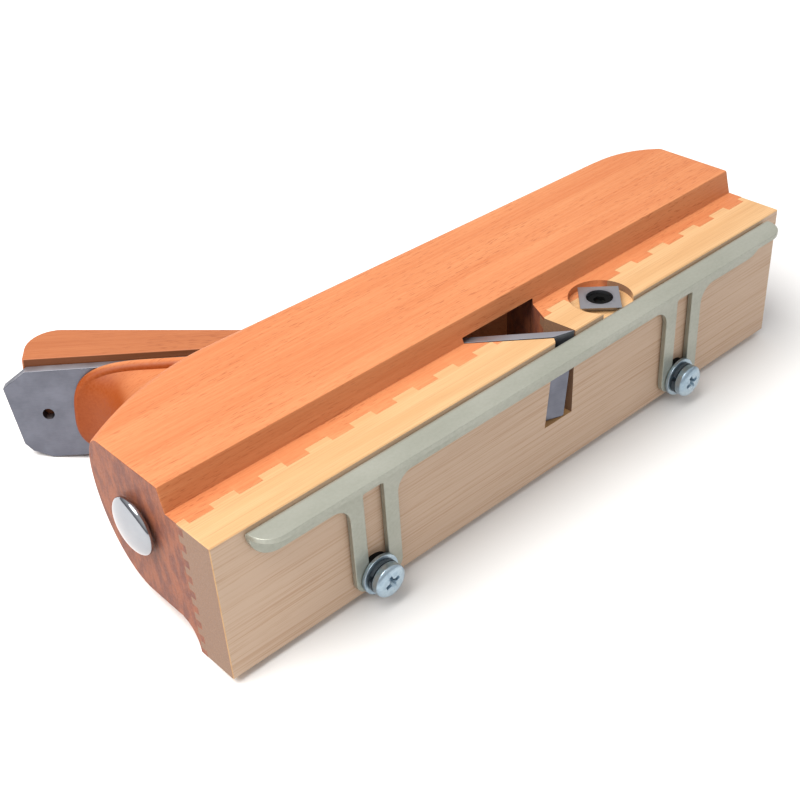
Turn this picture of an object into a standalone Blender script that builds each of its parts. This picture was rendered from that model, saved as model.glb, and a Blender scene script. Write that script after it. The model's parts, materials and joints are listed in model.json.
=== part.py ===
"""Skew moving-fillister hand plane: beech body, hornbeam sole, iron and wedge, fence, nicker.

Units are metres with +Z up. Every piece is described in the tool's own frame, in millimetres:
X runs from the heel to the toe, Y from the sole up to the top of the plane, and Z from the
plain side to the working side. One parent empty then lays the tool down at rest on its plain side,
where it leans on the edge of the sole and on the lower corner of the iron.
"""

import math

import bmesh
import bpy
from mathutils import Matrix, Vector

MM = 0.001
GAP = 0.3                     # clearance between neighbouring pieces

# body and sole
LENGTH = 270.0
SOLE_WIDTH = 53.68            # plain side to working side, at the sole
BODY_WIDTH = 62.52            # plain side to the face above the rebate step
STEP_HEIGHT = 22.16           # sole to the rebate step
STEP_LEAN = 2.06              # the step's riser leans back by this much
CROWN_HEIGHT = 75.5           # height of the flat side face at the heel end of the crown
CROWN_FALL = 0.0375           # the crown drops towards the toe by this much per millimetre
HEEL_ARCH_LENGTH = 56.0
HEEL_ARCH_DROP = 18.9
HEEL_ARCH_POWER = 1.95
TOE_ARCH_LENGTH = 32.0
TOE_ARCH_DROP = 10.5
TOE_ARCH_POWER = 3.2
TOP_RIDGE_Z = 45.5            # where the rounded top is highest
TOP_BULGE = 9.1               # how far the rounded top stands above the side face
TOP_PLAIN_DROP = 25.0         # rounding on the plain side
PLAIN_SIDE_Z = 10.4           # the plain side is relieved by this much above the sole
COVE_START = 16.8
COVE_END = 24.0

# diagonal comb joint between body and sole
COMB_LOW = 13.6
COMB_HIGH = 16.4
COMB_PITCH = 5.94
COMB_ANGLE = math.radians(19.0)
COMB_PHASE = 3.8

# bed, iron and wedge
BED_ANGLE = math.radians(41.5)
SKEW = math.radians(8.0)
EDGE_X = 154.2                # cutting corner on the working side
IRON_THICKNESS = 3.5
IRON_LENGTH = 198.0
IRON_INNER_Z = 20.7
IRON_INNER_FLARE = 0.0145     # the inner edge leans away by this much per millimetre
IRON_OUTER_Z = 53.98
IRON_OUTER_LEAN = 0.0065
IRON_BEVEL = math.radians(24.0)
IRON_HOLE_RADIUS = 2.15
IRON_HOLE_S = 182.7
IRON_HOLE_Z = 35.7
WEDGE_TIP_S = 40.0
WEDGE_END_S = 192.2
WEDGE_END_THICKNESS = 19.5
WEDGE_TAPER = 0.1164
WEDGE_INNER_Z = 21.4
WEDGE_OUTER_Z = 55.5
WEDGE_END_RADIUS = 10.5
MORTISE_INNER_Z = 18.7
MORTISE_OUTER_Z = 55.9

# mouth and shaving throat
MOUTH_INNER_Z = 20.2
MOUTH_FRONT_X = 154.8
MOUTH_FRONT_SKEW = 0.024
LIP_HEIGHT = 2.1
LIP_BACK = 1.6
THROAT_WAIST = 12.8
THROAT_WALL = 24.3
THROAT_TOP = 43.0
EJECT_RADIUS_INNER = 15.0
EJECT_RADIUS_OUTER = 8.0
EJECT_X = 138.0
EJECT_Y = 34.5

# horn behind the iron
HORN_INNER_Z = 19.0
HORN_OUTER_Z = 55.2
HORN_TIP_S = 173.0
HORN_SHOULDER_S = 144.0
HORN_ROOT_S = 100.0
HORN_POWER = 3.0
HORN_RIM = 1.0
HORN_RIM_RADIUS = 2.2
SCOOP_LEAVE = 1.0              # how far the scoop first runs down the horn, at its tip
SCOOP_REACH = 0.42
SCOOP_LANDING = 0.34
HORN_BASE_HEEL_X = 4.0
HORN_BASE_SHOULDER_X = 45.0
HORN_BASE_ROOT_X = 74.0
HORN_BASE_INNER_Z = 12.5
HORN_BASE_OUTER_Z = 60.0

# strike button in the heel
BUTTON_Y = 40.0
BUTTON_Z = 40.0
BUTTON_RADIUS = 10.25
BUTTON_STAND = 1.6
BUTTON_RIM = 0.9
BUTTON_DOME = 3.0
BUTTON_SHANK_RADIUS = 4.0
BUTTON_SHANK_DEPTH = 22.0

# nicker
NICKER_X = 176.7
NICKER_Y = 8.4
NICKER_SIDE = 14.4
NICKER_TOP_Z = 53.55
NICKER_THICKNESS = 2.2
NICKER_HOLE_RADIUS = 4.75
NICKER_RECESS_X = 177.0
NICKER_RECESS_Y = 8.2
NICKER_RECESS_RADIUS = 11.4
NICKER_RECESS_DEPTH = 2.75
NICKER_SCREW_RADIUS = 2.0
NICKER_INSERT_RADIUS = 3.6
NICKER_INSERT_LENGTH = 11.0

# fence
FENCE_X0 = 12.0
FENCE_X1 = 261.0
FENCE_SHEET = 2.0
FENCE_TOP_Z = 53.2
FENCE_EDGE_Y = -10.2
FENCE_BEND_RADIUS = 2.4
FENCE_PLATE_Z = 41.0
FENCE_FLANGE_CORNER = 8.0
FENCE_PLATE_CORNER = 11.0
ARM_X = (59.3, 212.4)
ARM_WIDTH = 20.0
ARM_END_Z = 2.7
ARM_FILLET = 6.5
ARM_CORNER = 5.0
SLOT_WIDTH = 8.5
SLOT_TOP_Z = 42.0
SLOT_END_Z = 4.2

# fence screws, washers and threaded inserts
SCREW_Z = 7.5
SCREW_X = tuple(x - 0.8 for x in ARM_X)     # a little to the heel side of the slots
SCREW_RADIUS = 3.0
SCREW_HEAD_RADIUS = 6.1
SCREW_HEAD_HEIGHT = 3.5
SCREW_DEPTH = 11.0
RECESS_REACH = 3.4
RECESS_HALF_WIDTH = 0.8
RECESS_DEPTH = 2.0
RECESS_TURN = math.radians(20.0)
FLAT_WASHER_RADIUS = 7.4
FLAT_WASHER_THICKNESS = 1.4
SPRING_WASHER_RADIUS = 6.1
SPRING_WASHER_THICKNESS = 1.6
WASHER_HOLE_RADIUS = 3.3
STACK_GAP = 0.15
INSERT_RADIUS = 4.5
INSERT_LENGTH = 12.2
INSERT_FLANGE_RADIUS = 6.2
INSERT_FLANGE = 1.0

REST_TILT = math.radians(9.85)

UP_BED = Vector((-math.cos(BED_ANGLE), math.sin(BED_ANGLE), 0.0))
OFF_BED = Vector((math.sin(BED_ANGLE), math.cos(BED_ANGLE), 0.0))
ALONG_EDGE = Vector((math.tan(SKEW), 0.0, 1.0))
BED_T = -(IRON_THICKNESS + GAP)


# ---------------------------------------------------------------- small helpers

def clear_scene():
    for obj in list(bpy.data.objects):
        bpy.data.objects.remove(obj, do_unlink=True)


def material(name, colour, metallic, roughness):
    mat = bpy.data.materials.new(name)
    mat.use_nodes = True
    shader = mat.node_tree.nodes["Principled BSDF"]
    shader.inputs["Base Color"].default_value = (*colour, 1.0)
    shader.inputs["Metallic"].default_value = metallic
    shader.inputs["Roughness"].default_value = roughness
    return mat


def add_object(name, bm, origin, mat):
    """Turns a bmesh in tool millimetres into a named object with its origin at a tool point."""
    bmesh.ops.remove_doubles(bm, verts=bm.verts, dist=1e-4)
    bmesh.ops.recalc_face_normals(bm, faces=bm.faces)
    origin = Vector(origin)
    for vert in bm.verts:
        vert.co = (vert.co - origin) * MM
    mesh = bpy.data.meshes.new(name)
    bm.to_mesh(mesh)
    bm.free()
    obj = bpy.data.objects.new(name, mesh)
    obj.location = origin * MM
    obj.data.materials.append(mat)
    bpy.context.scene.collection.objects.link(obj)
    return obj


def boolean(obj, bm, operation):
    """Applies one exact boolean with a bmesh in tool millimetres."""
    cutter = add_object("cutter", bm, (0, 0, 0), obj.data.materials[0])
    cutter.display_type = "WIRE"
    cutter.hide_render = True
    modifier = obj.modifiers.new("cut", "BOOLEAN")
    modifier.operation = operation
    modifier.solver = "EXACT"
    modifier.object = cutter
    bpy.context.view_layer.update()
    graph = bpy.context.evaluated_depsgraph_get()
    result = bpy.data.meshes.new_from_object(obj.evaluated_get(graph))
    obj.modifiers.clear()
    obj.data = result
    bpy.data.objects.remove(cutter, do_unlink=True)


def cut(obj, bm):
    boolean(obj, bm, "DIFFERENCE")


def join(obj, bm):
    boolean(obj, bm, "UNION")


def shade(obj, degrees=32.0):
    """Smooth shading with the edges above an angle kept sharp."""
    bm = bmesh.new()
    bm.from_mesh(obj.data)
    bmesh.ops.remove_doubles(bm, verts=bm.verts, dist=1e-6)
    for face in bm.faces:
        face.smooth = True
    for edge in bm.edges:
        edge.smooth = len(edge.link_faces) == 2 and edge.calc_face_angle() < math.radians(degrees)
    bm.to_mesh(obj.data)
    bm.free()


def rings_to_mesh(rings):
    """Closed rings of equal length, joined by side faces and closed by a cap at each end."""
    bm = bmesh.new()
    loops = [[bm.verts.new(p) for p in ring] for ring in rings]
    count = len(loops[0])
    for low, high in zip(loops, loops[1:]):
        for i in range(count):
            j = (i + 1) % count
            bm.faces.new((low[i], low[j], high[j], high[i]))
    bm.faces.new(loops[0])
    bm.faces.new(loops[-1])
    bmesh.ops.recalc_face_normals(bm, faces=bm.faces)
    return bm


def prism(outline, place, low, high):
    """Extrudes a 2-D outline between two levels; place(u, v, w) gives the tool point."""
    return rings_to_mesh([[place(u, v, w) for u, v in outline] for w in (low, high)])


def xy(u, v, w):
    return Vector((u, v, w))


def xz(u, v, w):
    return Vector((u, w, v))


def bed(s, z, t):
    """Point at distance s up the bed from the skewed edge, at width z, t in front of the iron's face."""
    start = Vector((EDGE_X, 0.0, SOLE_WIDTH)) + (z - SOLE_WIDTH) * ALONG_EDGE
    return start + s * UP_BED + t * OFF_BED


def bed_side(s, t, z):
    return bed(s, z, t)


def bed_x(height, z):
    """X of the bed surface at a height above the sole."""
    s = (height - BED_T * OFF_BED.y) / UP_BED.y
    return bed(s, z, BED_T).x


def fillet(points, steps=6):
    """Rounds the corners of a polygon given as (u, v, radius)."""
    outline = []
    count = len(points)
    for i, (u, v, radius) in enumerate(points):
        here = Vector((u, v))
        if radius == 0:
            outline.append(here)
            continue
        back = (Vector(points[i - 1][:2]) - here).normalized()
        ahead = (Vector(points[(i + 1) % count][:2]) - here).normalized()
        half = math.acos(max(-1.0, min(1.0, back.dot(ahead)))) / 2
        centre = here + (back + ahead).normalized() * radius / math.sin(half)
        start = here + back * radius / math.tan(half) - centre
        turn = math.pi - 2 * half
        sign = 1.0 if back.x * ahead.y - back.y * ahead.x < 0 else -1.0
        for k in range(steps + 1):
            outline.append(centre + Matrix.Rotation(sign * turn * k / steps, 2) @ start)
    return [(p.x, p.y) for p in outline]


def lathe(profile, place, steps=40):
    """Turns a closed (radius, height) profile; place(a, b, h) puts the turned point in the tool."""
    bm = bmesh.new()
    loops = []
    for radius, height in profile:
        if radius == 0:
            loops.append([bm.verts.new(place(0.0, 0.0, height))])
            continue
        ring = []
        for k in range(steps):
            angle = 2 * math.pi * k / steps
            ring.append(bm.verts.new(place(radius * math.cos(angle), radius * math.sin(angle), height)))
        loops.append(ring)
    pairs = list(zip(loops, loops[1:]))
    if len(loops[0]) > 1:
        pairs.append((loops[-1], loops[0]))
    for low, high in pairs:
        for k in range(steps):
            n = (k + 1) % steps
            corners = [low[k % len(low)], low[n % len(low)], high[n % len(high)], high[k % len(high)]]
            unique = list(dict.fromkeys(corners))
            bm.faces.new(unique)
    bmesh.ops.recalc_face_normals(bm, faces=bm.faces)
    return bm


def along_x(y, z):
    return lambda a, b, h: Vector((h, y + a, z + b))


def along_y(x, z):
    return lambda a, b, h: Vector((x + a, h, z + b))


def along_z(x, y):
    return lambda a, b, h: Vector((x + a, y + b, h))


def disc(radius, low, high, place, steps=40):
    return lathe([(0, low), (radius, low), (radius, high), (0, high)], place, steps)


def box(low, high):
    outline = [(low[0], low[1]), (high[0], low[1]), (high[0], high[1]), (low[0], high[1])]
    return prism(outline, xy, low[2], high[2])


# ---------------------------------------------------------------- body and sole

def side_height(x):
    """Height of the flat side face at x, with the arches at heel and toe."""
    heel = max(0.0, 1 - x / HEEL_ARCH_LENGTH) ** HEEL_ARCH_POWER
    toe = max(0.0, (x - LENGTH + TOE_ARCH_LENGTH) / TOE_ARCH_LENGTH) ** TOE_ARCH_POWER
    return CROWN_HEIGHT - CROWN_FALL * x - HEEL_ARCH_DROP * heel - TOE_ARCH_DROP * toe


def top_offset(z):
    """Height of the rounded top at width z, above the side face's height."""
    if z >= TOP_RIDGE_Z:
        share = (z - TOP_RIDGE_Z) / (BODY_WIDTH - TOP_RIDGE_Z)
        return TOP_BULGE * math.sqrt(max(0.0, 1 - share * share))
    share = (TOP_RIDGE_Z - z) / (TOP_RIDGE_Z - PLAIN_SIDE_Z)
    return TOP_BULGE - TOP_PLAIN_DROP * (1 - math.sqrt(max(0.0, 1 - share * share)))


def body_section(x):
    height = side_height(x)
    points = [(COMB_LOW + GAP / 2, SOLE_WIDTH), (STEP_HEIGHT, SOLE_WIDTH)]
    points.append((STEP_HEIGHT + STEP_LEAN, BODY_WIDTH))
    for k in range(7):
        z = TOP_RIDGE_Z + (BODY_WIDTH - TOP_RIDGE_Z) * math.cos(math.pi / 2 * k / 6)
        points.append((height + top_offset(z), z))
    for k in range(1, 10):
        z = TOP_RIDGE_Z - (TOP_RIDGE_Z - PLAIN_SIDE_Z) * math.sin(math.pi / 2 * k / 9)
        points.append((height + top_offset(z), z))
    for k in range(6):
        angle = math.pi / 2 * k / 5
        y = COVE_END - (COVE_END - COVE_START) * math.sin(angle)
        points.append((y, PLAIN_SIDE_Z * math.cos(angle)))
    points.append((COMB_LOW + GAP / 2, 0.0))
    return [Vector((x, y, z)) for y, z in points]


def stations():
    heel = [HEEL_ARCH_LENGTH * (k / 9) ** 1.2 for k in range(10)]
    toe = [LENGTH - TOE_ARCH_LENGTH * (1 - k / 7) for k in range(8)]
    return heel + [HEEL_ARCH_LENGTH + 60.0, HEEL_ARCH_LENGTH + 120.0] + toe


def superellipse(share, power):
    """Half of a rounded outline: share runs 0..1 from one side round to the other."""
    angle = math.pi * share
    side = math.cos(angle)
    end = math.sin(angle)
    radius = (abs(side) ** power + abs(end) ** power) ** (-1 / power)
    return side * radius, end * radius


def rounded_path(count, power):
    """Straight side, rounded end and straight side as (kind share, side -1..1, end 0..1)."""
    path = []
    for k in range(count):
        path.append((1.0 - k / count, 1.0, 0.0))
    for k in range(2 * count + 1):
        side, end = superellipse(k / (2 * count), power)
        path.append((0.0, side, end))
    for k in range(1, count + 1):
        path.append((k / count, -1.0, 0.0))
    return path


def horn_rings():
    """Rings from the horn's front face back to where its scoop runs out on the rounded top."""
    middle = (HORN_INNER_Z + HORN_OUTER_Z) / 2
    half = (HORN_OUTER_Z - HORN_INNER_Z) / 2
    base_middle = (HORN_BASE_INNER_Z + HORN_BASE_OUTER_Z) / 2
    base_half = (HORN_BASE_OUTER_Z - HORN_BASE_INNER_Z) / 2
    rows = []
    for straight, side, end in rounded_path(6, HORN_POWER):
        s = HORN_SHOULDER_S + (HORN_TIP_S - HORN_SHOULDER_S) * end
        s -= (HORN_SHOULDER_S - HORN_ROOT_S) * straight
        z = middle + half * side
        x = HORN_BASE_SHOULDER_X - (HORN_BASE_SHOULDER_X - HORN_BASE_HEEL_X) * end
        x += (HORN_BASE_ROOT_X - HORN_BASE_SHOULDER_X) * straight
        base_z = base_middle + base_half * side
        base = Vector((x, side_height(x) + top_offset(base_z) - 0.6, base_z))
        slope = (side_height(x + 1.0) - side_height(x - 1.0)) / 2
        rows.append(scoop_row(s, z, base, slope, side, end))
    count = len(rows[0])
    return [[row[i] for row in rows] for i in range(count)]


def scoop_row(s, z, base, slope, side, end):
    """One line of the horn: rounded rim, then a hollow curve down to the rounded top."""
    inward = (-end * UP_BED - Vector((0.0, 0.0, side))).normalized()
    edge = bed(s, z, BED_T - HORN_RIM)
    row = [bed(s, z, BED_T + 2.0)]
    for k in range(4):
        angle = math.pi / 2 * k / 3
        across = inward * HORN_RIM_RADIUS * (1 - math.cos(angle))
        row.append(edge + across - OFF_BED * HORN_RIM_RADIUS * math.sin(angle))
    rim = row[-1]
    reach = (base - rim).length
    start = -SCOOP_LEAVE * end * UP_BED - (1.0 - 0.7 * end) * OFF_BED + Vector((0.0, 0.0, -0.25 * side))
    start.normalize()
    landing = Vector((end, slope * end + 0.75 * (1 - end), -0.9 * side * (1 - end))).normalized()
    first = rim + start * reach * SCOOP_REACH
    second = base + landing * reach * SCOOP_LANDING
    for k in range(1, 9):
        v = k / 8
        point = rim * (1 - v) ** 3 + first * 3 * v * (1 - v) ** 2
        point += second * 3 * v * v * (1 - v) + base * v ** 3
        row.append(point)
    row.append(base - Vector((0.0, 9.0, 0.0)))
    return row


def comb_cutter(low, high, shift, width):
    """Parallel diagonal bars that leave the comb's fingers."""
    bm = bmesh.new()
    across = Vector((-math.sin(COMB_ANGLE), 0.0, math.cos(COMB_ANGLE)))
    forward = Vector((math.cos(COMB_ANGLE), 0.0, math.sin(COMB_ANGLE)))
    first = math.floor(-LENGTH * math.sin(COMB_ANGLE) / COMB_PITCH) - 1
    last = math.ceil(SOLE_WIDTH * math.cos(COMB_ANGLE) / COMB_PITCH) + 1
    for k in range(first, last + 1):
        centre = across * (COMB_PITCH * (k + shift) + COMB_PHASE)
        corners = []
        for end in (-60.0, 360.0):
            for side, y in ((-1, low), (1, low), (1, high), (-1, high)):
                point = centre + forward * end + across * side * width / 2
                corners.append(bm.verts.new((point.x, y, point.z)))
        near, far = corners[:4], corners[4:]
        bm.faces.new(near)
        bm.faces.new(far)
        for i in range(4):
            j = (i + 1) % 4
            bm.faces.new((near[i], near[j], far[j], far[i]))
    bmesh.ops.recalc_face_normals(bm, faces=bm.faces)
    return bm


def throat_section(z):
    """Mouth and shaving throat at width z, from the sole up to the hollow under the side face."""
    front = MOUTH_FRONT_X + (z - SOLE_WIDTH) * MOUTH_FRONT_SKEW
    lip = bed_x(LIP_HEIGHT, z)
    slope = LIP_BACK / LIP_HEIGHT
    points = [(front, -2.0), (front - 1.5, THROAT_WAIST), (front + 3.6, THROAT_WALL)]
    points += [(front + 1.5, THROAT_WALL + 9.0), (front - 6.0, THROAT_TOP - 3.5)]
    points.append((front - 18.0, THROAT_TOP))
    points += [(bed_x(THROAT_TOP, z) + 6.0, THROAT_TOP), (bed_x(THROAT_TOP - 3.0, z), THROAT_TOP - 3.0)]
    points += [(lip, LIP_HEIGHT), (lip - LIP_BACK - 2.0 * slope, -2.0)]
    return [Vector((x, y, z)) for x, y in points]


def throat_cutter():
    return rings_to_mesh([throat_section(z) for z in (MOUTH_INNER_Z, MORTISE_OUTER_Z)])


def wedge_front(s):
    return WEDGE_END_THICKNESS - WEDGE_TAPER * (WEDGE_END_S - 6.0 - s)


def mortise_cutter():
    """Slot for iron and wedge, open at the top of the plane."""
    start, end = WEDGE_TIP_S - 8.0, IRON_LENGTH + 20.0
    outline = [(start, BED_T), (end, BED_T)]
    outline += [(end, wedge_front(end) + GAP), (start, wedge_front(start) + GAP)]
    return prism(outline, bed_side, MORTISE_INNER_Z, MORTISE_OUTER_Z)


def eject_cutter():
    """Cone through which shavings leave on the relieved plain side."""
    profile = [(0, -1.0), (EJECT_RADIUS_INNER, -1.0), (EJECT_RADIUS_OUTER, 40.0), (0, 40.0)]
    return lathe(profile, along_z(EJECT_X, EJECT_Y), 28)


def nicker_recess():
    floor = SOLE_WIDTH - NICKER_RECESS_DEPTH
    place = along_z(NICKER_RECESS_X, NICKER_RECESS_Y)
    return disc(NICKER_RECESS_RADIUS, floor, SOLE_WIDTH + 5.0, place, 48)


def make_body(mat):
    obj = add_object("body", rings_to_mesh([body_section(x) for x in stations()]), (0, 0, 0), mat)
    join(obj, rings_to_mesh(horn_rings()))
    finger = COMB_PITCH / 2 + GAP
    cut(obj, comb_cutter(0.0, COMB_HIGH + GAP / 2, 0.0, finger))
    cut(obj, mortise_cutter())
    cut(obj, throat_cutter())
    cut(obj, eject_cutter())
    cut(obj, nicker_recess())
    depth = BUTTON_SHANK_DEPTH + GAP
    cut(obj, disc(BUTTON_SHANK_RADIUS + GAP, -5.0, depth, along_x(BUTTON_Y, BUTTON_Z)))
    shade(obj)
    return obj


def make_sole(mat):
    high = COMB_HIGH - GAP / 2
    obj = add_object("sole", box((0, 0, 0), (LENGTH, high, SOLE_WIDTH)), (0, 0, 0), mat)
    finger = COMB_PITCH / 2 + GAP
    cut(obj, comb_cutter(COMB_LOW - GAP / 2, 40.0, 0.5, finger))
    cut(obj, throat_cutter())
    cut(obj, nicker_recess())
    floor = SOLE_WIDTH - NICKER_RECESS_DEPTH
    low = floor - NICKER_INSERT_LENGTH - 1.0
    cut(obj, disc(NICKER_INSERT_RADIUS + GAP, low, floor + 1.0, along_z(NICKER_X, NICKER_Y)))
    seat = INSERT_FLANGE_RADIUS + GAP
    seat_depth = INSERT_FLANGE + 0.4
    bore = INSERT_RADIUS + GAP
    bore_depth = INSERT_LENGTH + 0.6
    for x in SCREW_X:
        profile = [(0, -1.0), (seat, -1.0), (seat, seat_depth), (bore, seat_depth)]
        profile += [(bore, bore_depth), (0, bore_depth)]
        cut(obj, lathe(profile, along_y(x, SCREW_Z)))
    shade(obj)
    return obj


# ---------------------------------------------------------------- iron and wedge

def make_iron(mat):
    """Straight bar with clipped tang corners; the bevel is ground on the bed side."""
    def inner(s):
        return IRON_INNER_Z - IRON_INNER_FLARE * s

    def outer(s):
        return IRON_OUTER_Z - IRON_OUTER_LEAN * s
    tang = IRON_LENGTH - 15.5
    outline = [(0.0, inner(0.0)), (tang, inner(tang)), (tang + 7.1, inner(tang) + 2.9)]
    outline += [(tang + 10.0, inner(tang) + 6.0), (IRON_LENGTH, outer(tang) - 6.1)]
    outline.append((tang + 7.3, outer(tang)))
    outline += [(0.0, outer(0.0))]
    rings = []
    for t in (0.0, -IRON_THICKNESS):
        back = -t / math.tan(IRON_BEVEL)
        rings.append([bed(s + (back if s == 0.0 else 0.0), z, t) for s, z in outline])
    origin = bed(IRON_HOLE_S, IRON_HOLE_Z, -IRON_THICKNESS / 2)
    obj = add_object("iron", rings_to_mesh(rings), origin, mat)

    def hole(a, b, h):
        return bed(IRON_HOLE_S, IRON_HOLE_Z, 0.0) + a * UP_BED + b * Vector((0, 0, 1)) + h * OFF_BED
    cut(obj, disc(IRON_HOLE_RADIUS, -8.0, 3.0, hole, 24))
    shade(obj)
    return obj


def make_wedge(mat):
    end = WEDGE_END_S
    outline = [(WEDGE_TIP_S, 0.2, 0), (end - 1.0, 0.2, 1.0)]
    outline.append((end + 0.8, wedge_front(end), WEDGE_END_RADIUS))
    outline += [(WEDGE_TIP_S, wedge_front(WEDGE_TIP_S), 0)]
    bm = prism(fillet(outline, 8), bed_side, WEDGE_INNER_Z, WEDGE_OUTER_Z)
    obj = add_object("wedge", bm, bed(WEDGE_END_S, (WEDGE_INNER_Z + WEDGE_OUTER_Z) / 2, 0.2), mat)
    shade(obj)
    return obj


# ---------------------------------------------------------------- strike button and nicker

def make_button(mat):
    """Pressed dome on a shank, standing a little off the heel."""
    rim = -BUTTON_STAND
    profile = [(0, BUTTON_SHANK_DEPTH), (BUTTON_SHANK_RADIUS - 0.8, BUTTON_SHANK_DEPTH)]
    profile += [(BUTTON_SHANK_RADIUS, BUTTON_SHANK_DEPTH - 1.2), (BUTTON_SHANK_RADIUS, rim)]
    profile += [(BUTTON_RADIUS - 0.4, rim), (BUTTON_RADIUS, rim - 0.4), (BUTTON_RADIUS, rim - BUTTON_RIM)]
    for k in range(1, 8):
        angle = math.pi / 2 * k / 8
        profile.append((BUTTON_RADIUS * math.cos(angle), rim - BUTTON_RIM - BUTTON_DOME * math.sin(angle)))
    profile.append((0, rim - BUTTON_RIM - BUTTON_DOME))
    bm = lathe(profile, along_x(BUTTON_Y, BUTTON_Z), 48)
    obj = add_object("strike_button", bm, (0, BUTTON_Y, BUTTON_Z), mat)
    shade(obj)
    return obj


def square_ring(side, z):
    half = side / math.sqrt(2)
    spots = ((1, 0), (0, 1), (-1, 0), (0, -1))
    return [Vector((NICKER_X + half * a, NICKER_Y + half * b, z)) for a, b in spots]


def make_nicker_plate(mat):
    """Square plate standing on a corner, bevelled on the inner side."""
    low = NICKER_TOP_Z - NICKER_THICKNESS
    rings = [square_ring(NICKER_SIDE - 3.2, low), square_ring(NICKER_SIDE - 2.6, low + 0.5)]
    rings += [square_ring(NICKER_SIDE, NICKER_TOP_Z - 0.25), square_ring(NICKER_SIDE - 0.5, NICKER_TOP_Z)]
    obj = add_object("nicker_plate", rings_to_mesh(rings), (NICKER_X, NICKER_Y, NICKER_TOP_Z), mat)
    hole = disc(NICKER_HOLE_RADIUS, low - 2.0, NICKER_TOP_Z + 2.0, along_z(NICKER_X, NICKER_Y))
    cut(obj, hole)
    shade(obj)
    return obj


def make_nicker_screw(mat):
    floor = SOLE_WIDTH - NICKER_RECESS_DEPTH
    head = NICKER_HOLE_RADIUS - GAP
    top = NICKER_TOP_Z - 0.5
    low = floor - NICKER_INSERT_LENGTH + 1.5
    radius = NICKER_SCREW_RADIUS
    seat = floor + GAP
    profile = [(0, low), (radius - 0.5, low), (radius, low + 0.7), (radius, seat), (head, seat)]
    profile += [(head, top - 0.4), (head - 0.4, top), (0, top)]
    turned = lathe(profile, along_z(NICKER_X, NICKER_Y))
    obj = add_object("nicker_screw", turned, (NICKER_X, NICKER_Y, top), mat)
    cut(obj, disc(2.3, top - 1.5, top + 1.0, along_z(NICKER_X, NICKER_Y), 6))
    shade(obj)
    return obj


def make_nicker_insert(mat):
    floor = SOLE_WIDTH - NICKER_RECESS_DEPTH
    low = floor - NICKER_INSERT_LENGTH
    bore = NICKER_SCREW_RADIUS + GAP
    profile = [(bore, low), (NICKER_INSERT_RADIUS, low), (NICKER_INSERT_RADIUS, floor), (bore, floor)]
    turned = lathe(profile, along_z(NICKER_X, NICKER_Y))
    obj = add_object("nicker_insert", turned, (NICKER_X, NICKER_Y, floor), mat)
    shade(obj)
    return obj


# ---------------------------------------------------------------- fence and its fixings

def fence_point(x, w, n):
    """Places a point of the flat sheet: w runs up the plate and out along the flange, n is depth."""
    bend = FENCE_TOP_Z - FENCE_BEND_RADIUS
    arc = FENCE_BEND_RADIUS * math.pi / 2
    if w <= bend:
        return Vector((x, -GAP - n, w))
    reach = FENCE_BEND_RADIUS - n
    if w <= bend + arc:
        angle = (w - bend) / FENCE_BEND_RADIUS
        y = -GAP - FENCE_BEND_RADIUS + reach * math.cos(angle)
        return Vector((x, y, bend + reach * math.sin(angle)))
    return Vector((x, -GAP - FENCE_BEND_RADIUS - (w - bend - arc), FENCE_TOP_Z - n))


def fence_outline():
    """Flat pattern of the sheet: flange, plate and the two arms."""
    bend = FENCE_TOP_Z - FENCE_BEND_RADIUS
    edge = bend + FENCE_BEND_RADIUS * math.pi / 2 + (-FENCE_EDGE_Y - GAP - FENCE_BEND_RADIUS)
    points = [(FENCE_X1, FENCE_PLATE_Z, FENCE_PLATE_CORNER), (FENCE_X1, edge, FENCE_FLANGE_CORNER)]
    points += [(FENCE_X0, edge, FENCE_FLANGE_CORNER), (FENCE_X0, FENCE_PLATE_Z, FENCE_PLATE_CORNER)]
    for x in ARM_X:
        left, right = x - ARM_WIDTH / 2, x + ARM_WIDTH / 2
        points += [(left, FENCE_PLATE_Z, ARM_FILLET), (left, ARM_END_Z, ARM_CORNER)]
        points += [(right, ARM_END_Z, ARM_CORNER), (right, FENCE_PLATE_Z, ARM_FILLET)]
    return fillet(points, 7)


def make_fence(mat):
    """Cuts the flat sheet, then folds the flange over."""
    bm = prism(fence_outline(), lambda u, v, w: Vector((u, v, w)), 0.0, FENCE_SHEET)
    bend = FENCE_TOP_Z - FENCE_BEND_RADIUS
    for k in range(7):
        row = bend + FENCE_BEND_RADIUS * math.pi / 2 * k / 6
        geometry = bm.verts[:] + bm.edges[:] + bm.faces[:]
        bmesh.ops.bisect_plane(bm, geom=geometry, plane_co=(0, row, 0), plane_no=(0, 1, 0), dist=1e-5)
    for vert in bm.verts:
        vert.co = fence_point(vert.co.x, vert.co.y, vert.co.z)
    obj = add_object("fence", bm, ((FENCE_X0 + FENCE_X1) / 2, 0, FENCE_TOP_Z), mat)
    for x in ARM_X:
        half = SLOT_WIDTH / 2
        outline = [(x - half, SLOT_END_Z, 2.0), (x + half, SLOT_END_Z, 2.0)]
        outline += [(x + half, SLOT_TOP_Z, 0.8), (x - half, SLOT_TOP_Z, 0.8)]
        cut(obj, prism(fillet(outline, 4), xz, -8.0, 3.0))
    shade(obj)
    return obj


def screw_stack():
    """Heights of the stacked pieces in front of the fence: (flat washer, spring washer, head)."""
    flat = -GAP - FENCE_SHEET - STACK_GAP
    spring = flat - FLAT_WASHER_THICKNESS - STACK_GAP
    head = spring - SPRING_WASHER_THICKNESS - STACK_GAP
    return flat, spring, head


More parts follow.
